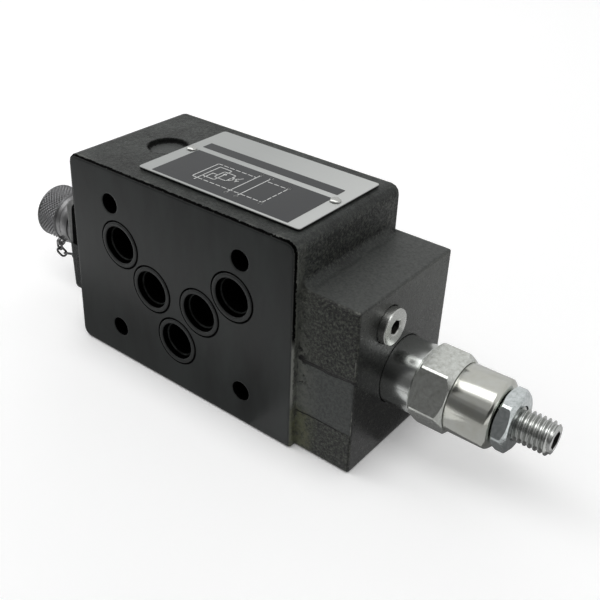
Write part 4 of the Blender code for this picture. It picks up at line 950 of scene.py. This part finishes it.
for face in cap_piece.data.polygons:
    if face.center.x > -80.6 * MM:
        face.material_index = 1
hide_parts("dust_cap")
print("cap faces:", len(cap_piece.data.polygons))

# %% [markdown]
# ## Chain rings and chain
#
# A strip ring swivels in the cap's groove and another on the fitting's neck. Each has an eye
# below for the chain. The chain is made of oval wire links, each turned a quarter from the
# one before, along a curve that sags under its own weight.

# %% Two strip rings with eyes
def strip_ring(name, body, finish, start, width, inner, outer, eye_start, reach, turn, node):
    soft = 0.06
    bm = spun([
        (start, inner), (start, outer - soft), (start - soft, outer),
        (start - width + soft, outer), (start - width, outer - soft), (start - width, inner),
    ], 96)
    a = math.radians(turn)
    eye = spun([
        (0, 0.95), (0, 1.55), (-0.15, 1.7), (-1.25, 1.7), (-1.4, 1.55), (-1.4, 0.95),
        (-1.1, 0.75), (-0.3, 0.75),
    ], 40)
    spot = Vector((eye_start, math.cos(a) * reach, math.sin(a) * reach)) * MM
    bmesh.ops.translate(eye, vec=spot, verts=eye.verts)
    spare = bpy.data.meshes.new("eye")
    eye.to_mesh(spare)
    eye.free()
    bm.from_mesh(spare)
    bpy.data.meshes.remove(spare)
    made = finished(name, bm, finish, body)
    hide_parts(node)
    return AXIS + spot - Vector((0.7 * MM, 0, 0))


cap_eye = strip_ring("cap_strip", "cap_ring", cap_dull, -78.52, 1.96, 9.15, 9.72,
                     -78.8, 10.8, -145.0, "cap_ring")
neck_eye = strip_ring("neck_strip", "valve", dull, -70.8, 3.0, 8.7, 9.6,
                      -70.8, 10.4, -60.0, "neck_ring")
print("eyes at", [round(c / MM, 1) for c in cap_eye], [round(c / MM, 1) for c in neck_eye])

# %% The chain's route
SAG = 4.5 * MM
first = cap_eye + Vector((0, -0.9, -1.2)) * MM
last = neck_eye + Vector((0, 0.6, -1.2)) * MM
span = last - first
knots = [
    first,
    first + Vector((0, 0, -SAG * 0.35)),
    Vector((first.x + span.x * 0.10, first.y + span.y * 0.04, first.z - SAG * 0.75)),
    Vector((first.x + span.x * 0.40, first.y + span.y * 0.20, first.z - SAG * 0.95)),
    Vector((first.x + span.x * 0.85, first.y + span.y * 0.60, last.z - SAG)),
    last + Vector((0, -span.y * 0.05, -SAG * 0.7)),
    last,
]


def smooth_route(points, per_span):
    ends = [2 * points[0] - points[1]] + points + [2 * points[-1] - points[-2]]
    route = []
    for k in range(1, len(ends) - 2):
        a, b, c, d = ends[k - 1:k + 3]
        for step in range(per_span):
            t = step / per_span
            route.append(0.5 * (
                2 * b + (c - a) * t + (2 * a - 5 * b + 4 * c - d) * t ** 2
                + (3 * b - a - 3 * c + d) * t ** 3
            ))
    return route + [points[-1]]


route = smooth_route(knots, 24)
lengths = [0.0]
for a, b in zip(route, route[1:]):
    lengths.append(lengths[-1] + (b - a).length)
print("chain length in mm:", round(lengths[-1] / MM, 1))


def on_route(distance):
    for k in range(1, len(route)):
        if lengths[k] >= distance or k == len(route) - 1:
            share = (distance - lengths[k - 1]) / max(lengths[k] - lengths[k - 1], 1e-9)
            way = (route[k] - route[k - 1]).normalized()
            return route[k - 1].lerp(route[k], share), way


# %% [markdown]
# One link is a wire section spun round one end, drawn along a side, spun round the other end
# and drawn back. Each link is then laid on the route with a quarter turn against the last. The
# frame that turns them is carried along from link to link, so the chain doesn't twist.

# %% Oval links
LINK_WIRE = 0.41 * MM
LINK_HALF = 0.80 * MM
LINK_BEND = 1.15 * MM


def link_mesh():
    bm = bmesh.new()
    place = Matrix.Translation((LINK_HALF, LINK_BEND, 0)) @ Matrix.Rotation(math.pi / 2, 4, "Y")
    circle = bmesh.ops.create_circle(bm, segments=12, radius=LINK_WIRE, matrix=place)["verts"]
    loop = list({edge for vert in circle for edge in vert.link_edges})
    for side in (1, -1):
        ring = bmesh.ops.spin(
            bm, geom=loop, cent=(side * LINK_HALF, 0, 0), axis=(0, 0, -1), dvec=(0, 0, 0),
            angle=math.pi, steps=12, use_merge=False, use_duplicate=False,
        )["geom_last"]
        ends = [item for item in ring if isinstance(item, bmesh.types.BMEdge)]
        drawn = bmesh.ops.extrude_edge_only(bm, edges=ends)["geom"]
        moved = [item for item in drawn if isinstance(item, bmesh.types.BMVert)]
        bmesh.ops.translate(bm, vec=(-2 * side * LINK_HALF, 0, 0), verts=moved)
        fresh = set(moved)
        loop = [
            item for item in drawn
            if isinstance(item, bmesh.types.BMEdge) and fresh.issuperset(item.verts)
        ]
    bmesh.ops.remove_doubles(bm, verts=bm.verts, dist=1e-6)
    bmesh.ops.recalc_face_normals(bm, faces=bm.faces)
    mesh = bpy.data.meshes.new("link")
    bm.to_mesh(mesh)
    bm.free()
    return mesh


# %% Lay the links on the route
link = link_mesh()
link_pitch = 2 * (LINK_HALF + LINK_BEND - LINK_WIRE)
count = round(lengths[-1] / link_pitch)
chain_bm = bmesh.new()
side = Vector((1, 0, 0))
for k in range(count + 1):
    middle, way = on_route(lengths[-1] * k / count)
    side = (side - way * side.dot(way)).normalized()
    across = side if k % 2 == 0 else way.cross(side)
    turn = Matrix((way, across, way.cross(across))).transposed().to_4x4()
    before = len(chain_bm.verts)
    chain_bm.from_mesh(link)
    chain_bm.verts.ensure_lookup_table()
    laid = chain_bm.verts[before:]
    bmesh.ops.transform(chain_bm, matrix=Matrix.Translation(middle) @ turn, verts=laid)
bpy.data.meshes.remove(link)
chain_mesh = bpy.data.meshes.new("chain_links")
chain_bm.to_mesh(chain_mesh)
chain_bm.free()
chain_mesh.shade_smooth()
chain_mesh.materials.append(dull.material)
chain_piece = bpy.data.objects.new("chain_links", chain_mesh)
bpy.context.scene.collection.objects.link(chain_piece)
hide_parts("cap_chain")
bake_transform(chain_piece)
print("links:", count + 1)

# %% [markdown]
# ## The nameplate
#
# The plate is a sheet of brushed alloy with a printed dark field and a dark strip, held by two
# round-head rivets. The print is made as very thin solids that lie on the plate. The field
# shows only a general circuit drawing: dashed lines round the valve, a spool box, its spring
# and the lines to the ports. The strip and the margins are bare.

# %% Dark fields of the plate
PLATE_TOP = 36.0


def thin_field(name, x0, x1, y0, y1, corner, finish, lift=0.0, thick=0.04):
    bm = bmesh.new()
    bmesh.ops.create_cube(bm, size=1.0)
    bmesh.ops.scale(bm, vec=((x1 - x0) * MM, (y1 - y0) * MM, thick * MM), verts=bm.verts)
    upright = [e for e in bm.edges if abs(e.verts[0].co.z - e.verts[1].co.z) > thick * MM / 2]
    if corner:
        bmesh.ops.bevel(
            bm, geom=upright, offset=corner * MM, offset_type="OFFSET", segments=5,
            profile=0.5, affect="EDGES", material=-1,
        )
    middle = Vector(((x0 + x1) / 2, (y0 + y1) / 2, PLATE_TOP + lift + thick / 2)) * MM
    return finished(name, bm, finish, "valve", middle)


field = thin_field("plate_field", -14.4, 38.2, 6.95, 27.3, 0.3, ink)
strip = thin_field("plate_strip", -15.2, 38.0, 29.9, 34.0, 0.3, ink)

# %% Circuit drawing
white_ink = Finish("print_white", (0.72, 0.73, 0.72), 0.5)
white_ink.colour(white_ink.mix(white_ink.noise(900, 2.0), (0.62, 0.63, 0.62), (0.78, 0.79, 0.78)))
LINE = 0.32


def add_line(bm, start, end, width=LINE):
    """One printed line: a thin bar laid between two points of the plate."""
    a, b = Vector(start), Vector(end)
    way = b - a
    before = len(bm.verts)
    bmesh.ops.create_cube(bm, size=1.0)
    bm.verts.ensure_lookup_table()
    fresh = bm.verts[before:]
    bmesh.ops.scale(bm, vec=((way.length + width) * MM, width * MM, 0.03 * MM), verts=fresh)
    turn = Matrix.Rotation(math.atan2(way.y, way.x), 3, "Z")
    bmesh.ops.rotate(bm, cent=(0, 0, 0), matrix=turn, verts=fresh)
    bmesh.ops.translate(bm, vec=((a + b) / 2).to_3d() * MM, verts=fresh)


def add_dashes(bm, start, end, dash=1.5, space=0.9):
    a, b = Vector(start), Vector(end)
    length = (b - a).length
    way = (b - a) / length
    at = 0.0
    while at < length:
        add_line(bm, a + way * at, a + way * min(at + dash, length))
        at += dash + space


def add_circle(bm, centre, radius, sides=12):
    spots = [
        Vector(centre) + radius * Vector((math.cos(math.tau * k / sides),
                                          math.sin(math.tau * k / sides)))
        for k in range(sides)
    ]
    for k in range(sides):
        add_line(bm, spots[k], spots[(k + 1) % sides], LINE * 0.8)


drawing = bmesh.new()
add_dashes(drawing, (-2.2, 23.4), (12.6, 23.4))
add_dashes(drawing, (-2.2, 11.8), (25.0, 11.8))
add_dashes(drawing, (25.0, 11.8), (25.0, 23.4))
add_dashes(drawing, (17.6, 23.4), (25.0, 23.4))
add_line(drawing, (-2.2, 11.8), (-2.2, 23.4))
add_line(drawing, (13.0, 10.6), (13.0, 25.2))
add_line(drawing, (16.8, 10.6), (16.8, 25.2))
add_line(drawing, (-0.2, 10.6), (-0.2, 21.8))
for corner, next_corner in (((3.2, 15.6), (7.8, 15.6)), ((7.8, 15.6), (7.8, 20.2)),
                            ((7.8, 20.2), (3.2, 20.2)), ((3.2, 20.2), (3.2, 15.6))):
    add_line(drawing, corner, next_corner)
add_line(drawing, (4.6, 14.0), (4.6, 21.9))
add_line(drawing, (4.6, 14.0), (-0.2, 14.0))
add_line(drawing, (4.6, 21.9), (-0.2, 21.9))
add_line(drawing, (4.1, 18.6), (4.6, 19.6))
add_line(drawing, (5.1, 18.6), (4.6, 19.6))
zigzag = [(7.8, 17.9), (8.3, 19.1), (8.9, 16.9), (9.5, 19.1), (10.1, 16.9), (10.7, 17.9)]
for a, b in zip(zigzag, zigzag[1:]):
    add_line(drawing, a, b, LINE * 0.9)
add_line(drawing, (8.2, 16.3), (10.7, 20.1), LINE * 0.9)
add_dashes(drawing, (3.2, 17.2), (1.2, 17.2), 0.6, 0.5)
add_dashes(drawing, (1.2, 17.2), (1.2, 13.2), 0.6, 0.5)
for spot in ((13.0, 25.9), (16.8, 25.9), (13.0, 9.9), (16.8, 9.9), (25.0, 24.1), (25.0, 11.1)):
    add_circle(drawing, spot, 0.55)
drawn = finished(
    "plate_drawing", drawing, white_ink, "valve", Vector((0, 0, (PLATE_TOP + 0.055) * MM))
)
print("lines of the drawing:", len(drawn.data.polygons) // 6)

# %% Round-head rivets
for side, x in (("left", -16.5), ("right", 39.9)):
    low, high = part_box("nameplate_rivet_" + side)
    spot = Vector(((low.x + high.x) / 2, (low.y + high.y) / 2, 0))
    dome = [(29.7, 0), (29.7, 1.0), (36.05, 1.0), (36.05, 1.55), (36.15, 1.7)]
    for k in range(1, 10):
        a = math.radians(10 * k)
        dome.append((36.15 + 0.9 * math.sin(a), 1.7 * math.cos(a)))
    dome[-1] = (37.05, 0)
    bm = spun(dome, 40, closed=False)
    bmesh.ops.rotate(bm, cent=(0, 0, 0), matrix=Matrix.Rotation(-math.pi / 2, 3, "Y"),
                     verts=bm.verts)
    rivet = finished("rivet_" + side, bm, plug_zinc, "valve", spot, 60)
    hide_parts("nameplate_rivet_" + side)
print("rivets ready")

# %% [markdown]
# ## Springs that shorten
#
# Both ends of the main spring press on a piece that moves, the guide and the plate, and the
# little check spring is pressed by its ball. A coil that rode on one body would be left behind
# by the other. The coils could be drawn again, but the solid model's are right, so they are
# copied. The main spring's copy is cut in two at its middle, and none of the copies rides on a
# body.

# %% Springs
def bent_coil(name, node, end, side=0):
    """A copy of a coil; given a side, the part of it beyond end along X on that side is cut off."""
    bm = bmesh.new()
    bm.from_mesh(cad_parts[node].data)
    bmesh.ops.remove_doubles(bm, verts=bm.verts, dist=1e-6)
    if side:
        bmesh.ops.bisect_plane(
            bm, geom=bm.verts[:] + bm.edges[:] + bm.faces[:], dist=1e-7,
            plane_co=(end, 0, 0), plane_no=(side, 0, 0), clear_outer=True,
        )
        bmesh.ops.holes_fill(bm, edges=[edge for edge in bm.edges if edge.is_boundary])
    mesh = bpy.data.meshes.new(name)
    bm.to_mesh(mesh)
    bm.free()
    mesh.shade_smooth()
    mesh.set_sharp_from_angle(angle=math.radians(50))
    mesh.materials.append(wire.material)
    coil = bpy.data.objects.new(name, mesh)
    bpy.context.scene.collection.objects.link(coil)
    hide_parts(node)
    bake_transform(coil)
    return coil


low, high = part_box("main_spring")
middle = (low[0] + high[0]) / 2
guide_end = bent_coil("main_spring_guide_end", "main_spring",
                      middle, 1)
plate_end = bent_coil("main_spring_plate_end", "main_spring",
                      middle, -1)
low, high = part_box("check_spring")
bent_coil("check_spring_coil", "check_spring", high[0])
print("spring faces:", len(guide_end.data.polygons), len(plate_end.data.polygons))

# %% [markdown]
# ## Finishes for the solid model's own pieces
#
# The pieces that are right as they stand keep their meshes and get the finishes made above.
# Most of them are inside the valve and show only when it is taken apart.

# %% Hand out the finishes
DRESS = {
    "valve_body": iron, "nameplate": alloy, "drain_plug_washer": dull,
    "cartridge_sleeve": bright, "spool": bright, "spring_guide": bright, "spring_plate": bright,
    "check_ball": bright, "test_point_washer": dull,
    "collar_seal": rubber, "nose_seal": rubber, "land_seal": rubber, "bonnet_seal": rubber,
    "plate_seal": rubber, "cap_washer": rubber, "nose_backup_ring": backup,
    "land_backup_ring": backup,
}
for name, finish in DRESS.items():
    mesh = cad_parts[name].data
    mesh.materials.clear()
    mesh.materials.append(finish.material)
    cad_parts[name].material_slots[0].material = finish.material
print("dressed:", len(DRESS), "of", len(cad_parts))
